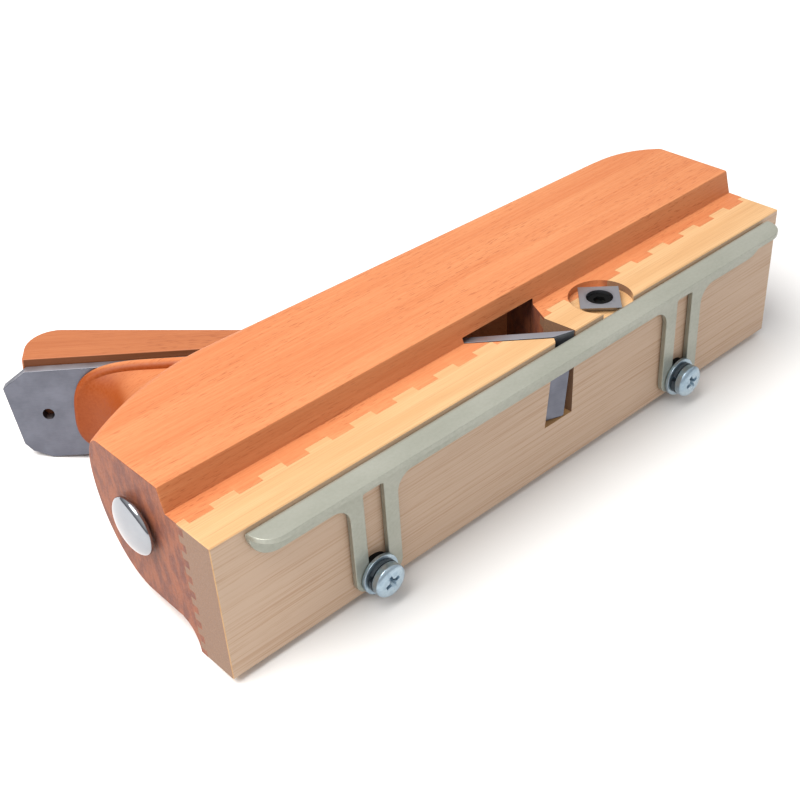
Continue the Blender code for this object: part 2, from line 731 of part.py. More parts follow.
def make_screw(name, x, mat):
    head = screw_stack()[2]
    top = head - SCREW_HEAD_HEIGHT
    radius = SCREW_RADIUS
    profile = [(0, SCREW_DEPTH), (radius - 0.8, SCREW_DEPTH), (radius, SCREW_DEPTH - 1.0), (radius, head)]
    profile += [(SCREW_HEAD_RADIUS - 0.2, head), (SCREW_HEAD_RADIUS, head - 0.3)]
    for k in range(6):
        angle = math.pi / 2 * k / 6
        share = 1 - (1 - math.sin(angle)) * 0.42
        profile.append((SCREW_HEAD_RADIUS * math.cos(angle) ** 0.5, head + share * (top - head)))
    profile.append((0, top))
    obj = add_object(name, lathe(profile, along_y(x, SCREW_Z)), (x, head, SCREW_Z), mat)
    for angle in (RECESS_TURN, RECESS_TURN + math.pi / 2):
        along = Vector((math.cos(angle), 0, math.sin(angle))) * RECESS_REACH
        wide = Vector((-math.sin(angle), 0, math.cos(angle))) * RECESS_HALF_WIDTH
        rings = []
        for y, scale in ((top - 1.0, 1.0), (top + RECESS_DEPTH, 0.45)):
            centre = Vector((x, y, SCREW_Z))
            corners = ((-1, -1), (1, -1), (1, 1), (-1, 1))
            rings.append([centre + along * a * scale + wide * b for a, b in corners])
        cut(obj, rings_to_mesh(rings))
    shade(obj)
    return obj


def make_washer(name, x, outer, start, thickness, split, mat):
    end = start - thickness
    inner = WASHER_HOLE_RADIUS
    profile = [(inner, start), (outer - 0.15, start), (outer, start - 0.15), (outer, end + 0.15)]
    profile += [(outer - 0.15, end), (inner, end)]
    obj = add_object(name, lathe(profile, along_y(x, SCREW_Z)), (x, start, SCREW_Z), mat)
    if split:
        far = x - outer - 2
        gap = [(far, SCREW_Z - 0.5), (x, SCREW_Z - 0.5), (x, SCREW_Z + 0.5), (far, SCREW_Z + 0.5)]
        cut(obj, prism(gap, xz, end - 2, start + 2))
    shade(obj)
    return obj


def make_insert(name, x, mat):
    bore = SCREW_RADIUS + GAP
    low = 0.2
    profile = [(bore, low), (INSERT_FLANGE_RADIUS, low), (INSERT_FLANGE_RADIUS, low + INSERT_FLANGE)]
    profile += [(INSERT_RADIUS, low + INSERT_FLANGE), (INSERT_RADIUS, INSERT_LENGTH), (bore, INSERT_LENGTH)]
    obj = add_object(name, lathe(profile, along_y(x, SCREW_Z)), (x, low, SCREW_Z), mat)
    shade(obj)
    return obj


# ---------------------------------------------------------------- assembly

def lay_at_rest(objects):
    """Lays the tool on its plain side, with the lowest point on Z = 0 under the box's centre."""
    rest = bpy.data.objects.new("rest_frame", None)
    bpy.context.scene.collection.objects.link(rest)
    turn = Matrix.Rotation(-REST_TILT, 4, "X")
    points = [turn @ (obj.location + v.co) for obj in objects for v in obj.data.vertices]
    low = [min(p[i] for p in points) for i in range(3)]
    high = [max(p[i] for p in points) for i in range(3)]
    rest.location = (-(low[0] + high[0]) / 2, -(low[1] + high[1]) / 2, -low[2])
    rest.rotation_euler = (-REST_TILT, 0.0, 0.0)
    for obj in objects:
        obj.parent = rest


def build():
    clear_scene()
    flat, spring, _ = screw_stack()
    objects = [
        make_body(material("beech", (0.62, 0.30, 0.15), 0.0, 0.5)),
        make_sole(material("hornbeam", (0.72, 0.56, 0.36), 0.0, 0.5)),
        make_iron(material("iron_steel", (0.32, 0.34, 0.38), 0.9, 0.4)),
        make_wedge(material("wedge_beech", (0.60, 0.28, 0.14), 0.0, 0.5)),
        make_button(material("button_chrome", (0.8, 0.81, 0.83), 1.0, 0.1)),
        make_nicker_plate(material("nicker_steel", (0.36, 0.37, 0.40), 0.9, 0.4)),
        make_nicker_screw(material("nicker_screw_black", (0.03, 0.03, 0.03), 0.6, 0.4)),
        make_nicker_insert(material("nicker_insert_steel", (0.2, 0.2, 0.2), 0.8, 0.5)),
        make_fence(material("fence_zinc", (0.58, 0.59, 0.55), 0.9, 0.3)),
    ]
    for side, x in zip(("heel", "toe"), SCREW_X):
        zinc = (0.55, 0.62, 0.68)
        objects.append(make_screw(f"fence_screw_{side}", x, material(f"screw_{side}", zinc, 0.9, 0.25)))
        objects.append(make_washer(
            f"flat_washer_{side}", x, FLAT_WASHER_RADIUS, flat, FLAT_WASHER_THICKNESS, False,
            material(f"flat_washer_{side}", zinc, 0.9, 0.3)))
        objects.append(make_washer(
            f"spring_washer_{side}", x, SPRING_WASHER_RADIUS, spring, SPRING_WASHER_THICKNESS, True,
            material(f"spring_washer_{side}", zinc, 0.9, 0.3)))
        dark = material(f"insert_{side}", (0.2, 0.2, 0.2), 0.8, 0.5)
        objects.append(make_insert(f"screw_insert_{side}", x, dark))
    lay_at_rest(objects)


build()
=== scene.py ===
"""Looks of a skew moving-fillister hand plane lying on its plain side.

Sizes are millimetres in the tool's own frame: X from heel to toe, Y from the sole up to the top,
Z from the plain side to the working side. tool_to_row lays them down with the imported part.
"""

import json
import math

import bmesh
import bpy
from mathutils import Matrix, Vector

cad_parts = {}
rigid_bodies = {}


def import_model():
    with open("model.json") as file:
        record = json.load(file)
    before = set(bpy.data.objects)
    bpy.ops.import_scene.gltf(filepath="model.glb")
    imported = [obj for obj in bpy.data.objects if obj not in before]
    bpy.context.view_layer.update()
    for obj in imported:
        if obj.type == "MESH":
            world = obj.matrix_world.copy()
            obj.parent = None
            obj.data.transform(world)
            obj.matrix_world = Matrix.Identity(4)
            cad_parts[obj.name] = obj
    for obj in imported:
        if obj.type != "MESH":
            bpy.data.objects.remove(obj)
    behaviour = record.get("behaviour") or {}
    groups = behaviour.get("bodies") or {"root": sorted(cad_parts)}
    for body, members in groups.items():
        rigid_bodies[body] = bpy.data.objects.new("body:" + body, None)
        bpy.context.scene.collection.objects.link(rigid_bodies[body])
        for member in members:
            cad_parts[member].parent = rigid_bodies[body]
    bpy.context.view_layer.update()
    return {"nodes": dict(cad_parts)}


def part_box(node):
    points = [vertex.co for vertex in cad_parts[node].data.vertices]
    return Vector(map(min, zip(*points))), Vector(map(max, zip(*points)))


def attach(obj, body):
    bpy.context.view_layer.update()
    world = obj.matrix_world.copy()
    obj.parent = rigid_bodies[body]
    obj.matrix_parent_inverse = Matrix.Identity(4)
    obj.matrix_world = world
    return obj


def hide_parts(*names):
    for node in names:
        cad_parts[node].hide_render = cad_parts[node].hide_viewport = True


for leftover in list(bpy.data.objects):
    bpy.data.objects.remove(leftover, do_unlink=True)
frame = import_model()

# ---------------------------------------------------------------------------------------------
# How the tool lies. The plain side is down, and the plane leans on the edge of its sole and on
# the lower corner of the iron, 9.85 degrees over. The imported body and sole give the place.

MM = 0.001
LEAN = math.radians(9.85)
SOLE_WIDTH = 53.68

body_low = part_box("body")[0]
sole_low, sole_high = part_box("sole")
place = Vector((body_low.x, sole_low.y, sole_high.z - SOLE_WIDTH * MM * math.cos(LEAN)))
tool_to_row = Matrix.Translation(place) @ Matrix.Rotation(-LEAN, 4, "X") @ Matrix.Scale(MM, 4)


# ---------------------------------------------------------------------------------------------
# Body: one block of steamed European beech, planed and lightly oiled. It is sawn to a low crown
# with an arch at each end, rebated along the working side, and the horn behind the iron is
# carved from the same block. The sole is glued to it with a diagonal comb joint.

LENGTH = 270.0
BODY_WIDTH = 62.52
STEP_HEIGHT = 22.16
STEP_LEAN = 2.06
ARRIS = 0.55
CROWN_HEIGHT = 75.5
CROWN_FALL = 0.0375
HEEL_ARCH = (56.0, 18.9, 1.95)     # length, drop and power of the curve
TOE_ARCH = (32.0, 10.5, 3.2)
TOP_RIDGE_Z = 45.5
TOP_BULGE = 9.1
TOP_PLAIN_DROP = 25.0
PLAIN_SIDE_Z = 10.4
COVE_START, COVE_END = 16.8, 24.0
EASE_CENTRE = (STEP_HEIGHT + 18.0, 36.0)
COMB_LOW, COMB_HIGH = 13.6, 16.4
COMB_PITCH = 5.94
COMB_ANGLE = math.radians(19.0)
COMB_PHASE = 3.8
GLUE_LINE = 0.03


def side_height(x):
    heel = max(0.0, 1 - x / HEEL_ARCH[0]) ** HEEL_ARCH[2]
    toe = max(0.0, (x - LENGTH + TOE_ARCH[0]) / TOE_ARCH[0]) ** TOE_ARCH[2]
    return CROWN_HEIGHT - CROWN_FALL * x - HEEL_ARCH[1] * heel - TOE_ARCH[1] * toe


def top_offset(z):
    if z >= TOP_RIDGE_Z:
        share = (z - TOP_RIDGE_Z) / (BODY_WIDTH - TOP_RIDGE_Z)
        return TOP_BULGE * math.sqrt(max(0.0, 1 - share * share))
    share = (TOP_RIDGE_Z - z) / (TOP_RIDGE_Z - PLAIN_SIDE_Z)
    return TOP_BULGE - TOP_PLAIN_DROP * (1 - math.sqrt(max(0.0, 1 - share * share)))


def body_section(x, arris):
    """Outline across the body; arris pulls the edge in where the end faces are eased."""
    height = side_height(x)
    riser_top = STEP_HEIGHT + STEP_LEAN
    points = [(COMB_LOW + GLUE_LINE, SOLE_WIDTH), (STEP_HEIGHT, SOLE_WIDTH)]
    points.append((riser_top - 0.12, BODY_WIDTH - ARRIS))
    points.append((riser_top + 0.08, BODY_WIDTH - 0.3 * ARRIS))
    points.append((riser_top + ARRIS, BODY_WIDTH))
    for k in range(17):
        z = TOP_RIDGE_Z + (BODY_WIDTH - TOP_RIDGE_Z) * math.cos(math.pi / 2 * k / 16)
        points.append((height + top_offset(z), z))
    for k in range(1, 25):
        z = TOP_RIDGE_Z - (TOP_RIDGE_Z - PLAIN_SIDE_Z) * math.sin(math.pi / 2 * k / 24)
        points.append((height + top_offset(z), z))
    for k in range(13):
        angle = math.pi / 2 * k / 12
        y = COVE_END - (COVE_END - COVE_START) * math.sin(angle)
        points.append((y, PLAIN_SIDE_Z * math.cos(angle)))
    points.append((COMB_LOW + GLUE_LINE, 0.0))
    section = []
    for y, z in points:
        eased = arris if y > STEP_HEIGHT + 1.0 else 0.0
        inward = (Vector(EASE_CENTRE) - Vector((y, z))).normalized() * eased
        section.append(Vector((x, y + inward.x, z + inward.y)))
    return section


def close_rings(rings):
    """Rings of equal length joined by side faces and closed at both ends."""
    bm = bmesh.new()
    loops = [[bm.verts.new(point) for point in ring] for ring in rings]
    count = len(loops[0])
    for low, high in zip(loops, loops[1:]):
        for i in range(count):
            j = (i + 1) % count
            bm.faces.new((low[i], low[j], high[j], high[i]))
    bm.faces.new(loops[0])
    bm.faces.new(loops[-1])
    return bm


def new_piece(name, bm):
    """A bmesh in tool millimetres as an object that still waits for its cuts."""
    bmesh.ops.remove_doubles(bm, verts=bm.verts, dist=1e-4)
    bmesh.ops.recalc_face_normals(bm, faces=bm.faces)
    mesh = bpy.data.meshes.new(name)
    bm.to_mesh(mesh)
    bm.free()
    piece = bpy.data.objects.new(name, mesh)
    bpy.context.scene.collection.objects.link(piece)
    return piece


def settle(piece):
    """Applies the modifiers, so the piece is a plain mesh again."""
    bpy.context.view_layer.update()
    graph = bpy.context.evaluated_depsgraph_get()
    mesh = bpy.data.meshes.new_from_object(piece.evaluated_get(graph))
    piece.modifiers.clear()
    piece.data = mesh


def carve(piece, tool, operation="DIFFERENCE"):
    """One exact boolean; the tool is used up."""
    modifier = piece.modifiers.new("carve", "BOOLEAN")
    modifier.operation = operation
    modifier.solver = "EXACT"
    modifier.object = tool
    settle(piece)
    bpy.data.objects.remove(tool, do_unlink=True)


def ease_edges(piece, width, steps=2):
    """Small rounded arrises on every edge sharper than 35 degrees."""
    modifier = piece.modifiers.new("arris", "BEVEL")
    modifier.width = width
    modifier.segments = steps
    modifier.limit_method = "ANGLE"
    modifier.angle_limit = math.radians(35.0)
    modifier.harden_normals = False
    settle(piece)


def lay_down(piece, finish, degrees=32.0, lining=None):
    """Moves a finished piece into the row frame, shades it and gives it its finish.

    A lining is (low corner, high corner, finish) for the faces inside a box."""
    bm = bmesh.new()
    bm.from_mesh(piece.data)
    bmesh.ops.remove_doubles(bm, verts=bm.verts, dist=1e-4)
    bmesh.ops.dissolve_degenerate(bm, edges=bm.edges, dist=1e-5)
    for face in bm.faces:
        face.smooth = True
        face.material_index = 0
        if lining:
            middle = face.calc_center_median()
            face.material_index = int(all(a < c < b for a, c, b in zip(lining[0], middle, lining[1])))
    bm.transform(tool_to_row)
    bmesh.ops.recalc_face_normals(bm, faces=bm.faces)
    for edge in bm.edges:
        edge.smooth = len(edge.link_faces) == 2 and edge.calc_face_angle() < math.radians(degrees)
    bm.to_mesh(piece.data)
    bm.free()
    piece.data.materials.clear()
    piece.data.materials.append(finish)
    if lining:
        piece.data.materials.append(lining[2])
    weigh = piece.modifiers.new("weigh", "WEIGHTED_NORMAL")
    weigh.keep_sharp = True
    weigh.weight = 90
    settle(piece)


def prism(name, outline, put, low, high):
    """A 2-D outline extruded between two levels; put(u, v, w) gives the point in the tool."""
    return new_piece(name, close_rings([[put(u, v, w) for u, v in outline] for w in (low, high)]))


def turned(name, profile, put, steps=64):
    """A closed (radius, height) profile turned round its axis."""
    bm = bmesh.new()
    loops = []
    for radius, height in profile:
        count = 1 if radius == 0 else steps
        angles = [2 * math.pi * k / steps for k in range(count)]
        ring = [(radius * math.cos(a), radius * math.sin(a), height) for a in angles]
        loops.append([bm.verts.new(put(*spot)) for spot in ring])
    pairs = list(zip(loops, loops[1:]))
    if len(loops[0]) > 1:
        pairs.append((loops[-1], loops[0]))
    for low, high in pairs:
        for k in range(steps):
            n = (k + 1) % steps
            ring = (low[k % len(low)], low[n % len(low)], high[n % len(high)], high[k % len(high)])
            bm.faces.new(list(dict.fromkeys(ring)))
    return new_piece(name, bm)


def axis_x(y, z):
    return lambda a, b, h: Vector((h, y + a, z + b))


def axis_y(x, z):
    return lambda a, b, h: Vector((x + a, h, z + b))


def axis_z(x, y):
    return lambda a, b, h: Vector((x + a, y + b, h))


def rod(radius, low, high, put, steps=48):
    return turned("rod", [(0, low), (radius, low), (radius, high), (0, high)], put, steps)


# The bed: the iron lies at 41.5 degrees to the sole and is skewed 8 degrees across it. A point
# on it is s up the slope from the cutting edge, z across the tool and t in front of the iron.
BED_ANGLE = math.radians(41.5)
SKEW = math.radians(8.0)
EDGE_X = 154.2
IRON_THICKNESS = 3.5
UP_BED = Vector((-math.cos(BED_ANGLE), math.sin(BED_ANGLE), 0.0))
OFF_BED = Vector((math.sin(BED_ANGLE), math.cos(BED_ANGLE), 0.0))
ALONG_EDGE = Vector((math.tan(SKEW), 0.0, 1.0))
BED_T = -(IRON_THICKNESS + 0.3)


def bed(s, z, t):
    start = Vector((EDGE_X, 0.0, SOLE_WIDTH)) + (z - SOLE_WIDTH) * ALONG_EDGE
    return start + s * UP_BED + t * OFF_BED


def bed_x(height, z):
    return bed((height - BED_T * OFF_BED.y) / UP_BED.y, z, BED_T).x


# The horn's outline on the bed, its thin rim, and the line where its scoop runs out on the top.
HORN_Z = (19.0, 55.2)
HORN_TIP_S, HORN_SHOULDER_S, HORN_ROOT_S = 173.0, 144.0, 100.0
HORN_POWER = 3.0
HORN_RIM, HORN_RIM_RADIUS = 1.0, 2.2
SCOOP_LEAVE, SCOOP_REACH, SCOOP_LANDING = 1.0, 0.42, 0.34
SCOOP_X = (4.0, 45.0, 74.0)
SCOOP_Z = (12.5, 60.0)


def horn_outline(count):
    """Straight side, rounded end and straight side, as (straight, side, end)."""
    path = [(1.0 - k / count, 1.0, 0.0) for k in range(count)]
    for k in range(3 * count + 1):
        angle = math.pi * k / (3 * count)
        side, end = math.cos(angle), math.sin(angle)
        reach = (abs(side) ** HORN_POWER + abs(end) ** HORN_POWER) ** (-1 / HORN_POWER)
        path.append((0.0, side * reach, end * reach))
    return path + [(k / count, -1.0, 0.0) for k in range(1, count + 1)]


def scoop_line(straight, side, end, steps=26):
    """One line of the horn: front face, blunt rim, then a hollow curve down to the rounded top."""
    s = HORN_SHOULDER_S + (HORN_TIP_S - HORN_SHOULDER_S) * end
    s -= (HORN_SHOULDER_S - HORN_ROOT_S) * straight
    z = (HORN_Z[0] + HORN_Z[1]) / 2 + (HORN_Z[1] - HORN_Z[0]) / 2 * side
    x = SCOOP_X[1] - (SCOOP_X[1] - SCOOP_X[0]) * end + (SCOOP_X[2] - SCOOP_X[1]) * straight
    base_z = (SCOOP_Z[0] + SCOOP_Z[1]) / 2 + (SCOOP_Z[1] - SCOOP_Z[0]) / 2 * side
    base = Vector((x, side_height(x) + top_offset(base_z) - 0.4, base_z))
    slope = (side_height(x + 1.0) - side_height(x - 1.0)) / 2
    inward = (-end * UP_BED - Vector((0.0, 0.0, side))).normalized()
    line = [bed(s, z, BED_T + 2.0), bed(s, z, BED_T - 0.4)]
    for k in range(7):
        angle = math.pi / 2 * k / 6
        across = inward * HORN_RIM_RADIUS * (1 - math.cos(angle))
        line.append(bed(s, z, BED_T - HORN_RIM) + across - OFF_BED * HORN_RIM_RADIUS * math.sin(angle))
    rim = line[-1]
    reach = (base - rim).length
    leave = -SCOOP_LEAVE * end * UP_BED - (1.0 - 0.7 * end) * OFF_BED + Vector((0.0, 0.0, -0.25 * side))
    leave.normalize()
    land = Vector((end, slope * end + 0.75 * (1 - end), -0.9 * side * (1 - end))).normalized()
    first, second = rim + leave * reach * SCOOP_REACH, base + land * reach * SCOOP_LANDING
    for k in range(1, steps + 1):
        v = k / steps
        point = rim * (1 - v) ** 3 + first * 3 * v * (1 - v) ** 2
        line.append(point + second * 3 * v * v * (1 - v) + base * v ** 3)
    line.append(base - Vector((0.0, 9.0, 0.0)))
    return line


MORTISE_Z = (18.7, 55.9)
WEDGE_TIP_S, WEDGE_END_S = 40.0, 192.2
WEDGE_END_THICKNESS = 19.5
WEDGE_TAPER = 0.1164
MOUTH_INNER_Z = 20.2
MOUTH_FRONT_X, MOUTH_FRONT_SKEW = 154.8, 0.024
LIP_HEIGHT, LIP_BACK = 2.1, 1.6
THROAT_WAIST, THROAT_WALL, THROAT_TOP = 12.8, 24.3, 43.0
EJECT = (138.0, 34.5, 15.0, 8.0)   # x, y, radius outside, radius inside
NICKER = (176.7, 8.4)
NICKER_RECESS = (177.0, 8.2, 11.4, 2.75)
BUTTON = (40.0, 40.0)
BUTTON_HOLE = (4.3, 22.3)          # radius and depth


def wedge_front(s):
    return WEDGE_END_THICKNESS - WEDGE_TAPER * (WEDGE_END_S - 6.0 - s)


def mortise_tool():
    start, end = WEDGE_TIP_S - 8.0, WEDGE_END_S + 25.0
    outline = [(start, BED_T), (end, BED_T)]
    outline += [(s, wedge_front(s) + 0.3) for s in (end, start)]
    return prism("mortise", outline, lambda s, t, z: bed(s, z, t), *MORTISE_Z)


def throat_ring(z):
    front = MOUTH_FRONT_X + (z - SOLE_WIDTH) * MOUTH_FRONT_SKEW
    lip = bed_x(LIP_HEIGHT, z)
    slope = LIP_BACK / LIP_HEIGHT
    points = [(front, -2.0), (front - 1.5, THROAT_WAIST), (front + 3.6, THROAT_WALL)]
    points += [(front + 1.5, THROAT_WALL + 9.0), (front - 6.0, THROAT_TOP - 3.5)]
    points.append((front - 18.0, THROAT_TOP))
    points += [(bed_x(THROAT_TOP, z) + 6.0, THROAT_TOP), (bed_x(THROAT_TOP - 3.0, z), THROAT_TOP - 3.0)]
    points += [(lip, LIP_HEIGHT), (lip - LIP_BACK - 2.0 * slope, -2.0)]
    return [Vector((x, y, z)) for x, y in points]


def throat_tool():
    return new_piece("throat", close_rings([throat_ring(z) for z in (MOUTH_INNER_Z, MORTISE_Z[1])]))


def recess_tool():
    x, y, radius, depth = NICKER_RECESS
    return rod(radius, SOLE_WIDTH - depth, SOLE_WIDTH + 5.0, axis_z(x, y), 96)


def join(tree, source, target, *pairs):
    """Links sockets of two nodes, each pair naming an output and an input."""
    for output, entry in pairs:
        tree.links.new(source.outputs[output], target.inputs[entry])


def start_shape_tree(name, sizes):
    tree = bpy.data.node_groups.new(name, "GeometryNodeTree")
    for label, kind in sizes.items():
        tree.interface.new_socket(label, in_out="INPUT", socket_type="NodeSocket" + kind)
    tree.interface.new_socket("Geometry", in_out="OUTPUT", socket_type="NodeSocketGeometry")
    return tree, tree.nodes.new("NodeGroupInput")


def end_shape_tree(tree, given, shape):
    """Makes the shape real and gives it its material."""
    solid = tree.nodes.new("GeometryNodeRealizeInstances")
    finish = tree.nodes.new("GeometryNodeSetMaterial")
    out = tree.nodes.new("NodeGroupOutput")
    tree.links.new(shape, solid.inputs["Geometry"])
    join(tree, solid, finish, ("Geometry", "Geometry"))
    join(tree, given, finish, ("Material", "Material"))
    join(tree, finish, out, ("Geometry", "Geometry"))


def comb_tree():
    """Diagonal bars of the comb joint: a row of boxes along a line, turned in plan."""
    tree, given = start_shape_tree("comb_bars", {
        "Count": "Int", "Pitch": "Vector", "First": "Vector", "Bar Size": "Vector", "Turn": "Vector",
        "Material": "Material"})
    row = tree.nodes.new("GeometryNodeMeshLine")
    bar = tree.nodes.new("GeometryNodeMeshCube")
    copies = tree.nodes.new("GeometryNodeInstanceOnPoints")
    join(tree, given, row, ("Count", "Count"), ("First", "Start Location"), ("Pitch", "Offset"))
    join(tree, given, bar, ("Bar Size", "Size"))
    join(tree, given, copies, ("Turn", "Rotation"))
    join(tree, row, copies, ("Mesh", "Points"))
    join(tree, bar, copies, ("Mesh", "Instance"))
    end_shape_tree(tree, given, copies.outputs["Instances"])
    return tree


def set_input(modifier, name, value):
    for item in modifier.node_group.interface.items_tree:
        if item.item_type == "SOCKET" and item.in_out == "INPUT" and item.name == name:
            modifier[item.identifier] = value


comb_bars = comb_tree()
filler = bpy.data.materials.new("comb_filler")


def comb_tool(low, high, shift, width):
    across = Vector((-math.sin(COMB_ANGLE), 0.0, math.cos(COMB_ANGLE)))
    first = math.floor(-LENGTH * math.sin(COMB_ANGLE) / COMB_PITCH) - 1
    last = math.ceil(SOLE_WIDTH * math.cos(COMB_ANGLE) / COMB_PITCH) + 1
    forward = Vector((math.cos(COMB_ANGLE), 0.0, math.sin(COMB_ANGLE)))
    start = across * (COMB_PITCH * (first + shift) + COMB_PHASE) + forward * 150.0
    start.y = (low + high) / 2
    holder = new_piece("comb", bmesh.new())
    modifier = holder.modifiers.new("bars", "NODES")
    modifier.node_group = comb_bars
    set_input(modifier, "Count", last - first + 1)
    set_input(modifier, "Pitch", across * COMB_PITCH)
    set_input(modifier, "First", start)
    set_input(modifier, "Bar Size", Vector((420.0, high - low, width)))
    set_input(modifier, "Turn", Vector((0.0, -COMB_ANGLE, 0.0)))
    set_input(modifier, "Material", filler)
    settle(holder)
    return holder


heel_stations = [(0.0, 0.5), (0.15, 0.2), (0.5, 0.0)]
heel_stations += [(0.5 + (HEEL_ARCH[0] - 0.5) * (k / 30) ** 1.3, 0.0) for k in range(1, 31)]
middle_stations = [(HEEL_ARCH[0] + 18.2 * k, 0.0) for k in range(1, 10)]
toe_start = LENGTH - TOE_ARCH[0]
toe_stations = [(toe_start + (TOE_ARCH[0] - 0.5) * (k / 24), 0.0) for k in range(25)]
toe_stations += [(LENGTH - 0.15, 0.2), (LENGTH, 0.5)]
body = new_piece("beech_body", close_rings(
    [body_section(x, arris) for x, arris in heel_stations + middle_stations + toe_stations]))
lines = [scoop_line(*spot) for spot in horn_outline(16)]
horn = new_piece("horn", close_rings([[line[i] for line in lines] for i in range(len(lines[0]))]))
carve(body, horn, "UNION")
finger = COMB_PITCH / 2
carve(body, comb_tool(0.0, COMB_HIGH + GLUE_LINE, 0.0, finger + GLUE_LINE))
carve(body, mortise_tool())
carve(body, throat_tool())
exit_cone = [(0, -1.0), (EJECT[2], -1.0), (EJECT[3], 40.0), (0, 40.0)]
carve(body, turned("eject", exit_cone, axis_z(*EJECT[:2]), 64))
carve(body, recess_tool())
carve(body, rod(BUTTON_HOLE[0], -5.0, BUTTON_HOLE[1], axis_x(*BUTTON)))


# The painted shade in the horn's scoop begins between these heights, and end grain stops there.
SCOOP_Y = (-1.0, 7.0)     # the scoop begins between these, measured from the middle of the row


def linear(red, green, blue):
    """A display colour given in bytes, as the linear values a shader takes."""
    values = [v / 255 for v in (red, green, blue)]
    return tuple(v / 12.92 if v <= 0.04045 else ((v + 0.055) / 1.055) ** 2.4 for v in values) + (1.0,)


# What every grain and plating group puts out.
GRAIN_OUTPUTS = [("Color", "Color"), ("Roughness", "Float"), ("Height", "Float")]


def start_group(name, inputs, outputs=GRAIN_OUTPUTS):
    group = bpy.data.node_groups.new(name, "ShaderNodeTree")
    for label, kind, value in inputs:
        socket = group.interface.new_socket(label, in_out="INPUT", socket_type="NodeSocket" + kind)
        if value is not None:
            socket.default_value = value
    for label, kind in outputs:
        group.interface.new_socket(label, in_out="OUTPUT", socket_type="NodeSocket" + kind)
    return group, group.nodes.new("NodeGroupInput"), group.nodes.new("NodeGroupOutput")


def put_out(group, out, **values):
    for name, value in values.items():
        group.links.new(value, out.inputs[name])


def stretched_noise(tree, vector, scale, detail=2.0, rough=0.5):
    """Noise on coordinates stretched by a scale per millimetre."""
    stretch = tree.nodes.new("ShaderNodeVectorMath")
    stretch.operation = "MULTIPLY"
    stretch.inputs[1].default_value = scale
    tree.links.new(vector, stretch.inputs[0])
    noise = tree.nodes.new("ShaderNodeTexNoise")
    noise.inputs["Scale"].default_value = 1.0
    noise.inputs["Detail"].default_value = detail
    noise.inputs["Roughness"].default_value = rough
    tree.links.new(stretch.outputs[0], noise.inputs["Vector"])
    return noise.outputs["Fac"]


def between(tree, value, low, high, out_low=0.0, out_high=1.0):
    """Maps a range of values to another, smoothly and clamped."""
    node = tree.nodes.new("ShaderNodeMapRange")
    node.interpolation_type = "SMOOTHSTEP"
    node.inputs["From Min"].default_value = low
    node.inputs["From Max"].default_value = high
    node.inputs["To Min"].default_value = out_low
    node.inputs["To Max"].default_value = out_high
    tree.links.new(value, node.inputs["Value"])
    return node.outputs["Result"]


def blend(tree, share, first, second, mode="MIX"):
    node = tree.nodes.new("ShaderNodeMix")
    node.data_type = "RGBA"
    node.blend_type = mode
    for value, socket in ((share, node.inputs[0]), (first, node.inputs[6]), (second, node.inputs[7])):
        if isinstance(value, bpy.types.NodeSocket):
            tree.links.new(value, socket)
        else:
            socket.default_value = value
    return node.outputs[2]


def reckon(tree, operation, first, second):
    node = tree.nodes.new("ShaderNodeMath")
    node.operation = operation
    for value, socket in ((first, node.inputs[0]), (second, node.inputs[1])):
        if isinstance(value, bpy.types.NodeSocket):
            tree.links.new(value, socket)
        else:
            socket.default_value = value
    return node.outputs[0]


def tool_vector_group():
    """The tool's own millimetres, with masks for end grain, the sole, the painted shade in the horn's
    scoop, and the faces that look down or straight up, which carry painted shade on the wedge and a painted
    highlight on the iron."""
    outputs = [("Vector", "Vector"), ("End", "Float"), ("Sole", "Float"),
               ("Scoop", "Float"), ("Under", "Float"), ("Up", "Float")]
    group, _, out = start_group("tool_coordinates", [], outputs)
    coords = group.nodes.new("ShaderNodeTexCoord")
    turn = group.nodes.new("ShaderNodeMapping")
    turn.inputs["Rotation"].default_value = (LEAN, 0.0, 0.0)
    turn.inputs["Scale"].default_value = (1 / MM, 1 / MM, 1 / MM)
    group.links.new(coords.outputs["Object"], turn.inputs["Vector"])
    group.links.new(turn.outputs["Vector"], out.inputs["Vector"])
    facing = group.nodes.new("ShaderNodeSeparateXYZ")
    group.links.new(coords.outputs["Normal"], facing.inputs[0])
    spot = group.nodes.new("ShaderNodeSeparateXYZ")
    group.links.new(turn.outputs["Vector"], spot.inputs[0])
    along = reckon(group, "ABSOLUTE", facing.outputs["X"], 0.0)
    low_down = between(group, spot.outputs["Y"], SCOOP_Y[0], SCOOP_Y[1], 1.0, 0.0)
    end_grain = reckon(group, "MULTIPLY", between(group, along, 0.72, 0.93), low_down)
    back = between(group, facing.outputs["X"], 0.05, -0.6)
    high_up = between(group, spot.outputs["Y"], SCOOP_Y[0], SCOOP_Y[1])
    put_out(group, out, End=end_grain, Scoop=reckon(group, "MULTIPLY", back, high_up),
            Sole=between(group, facing.outputs["Y"], -0.88, -0.96),
            Under=between(group, facing.outputs["Y"], -0.35, -0.65),
            Up=between(group, facing.outputs["Z"], 0.82, 0.96))
    return group


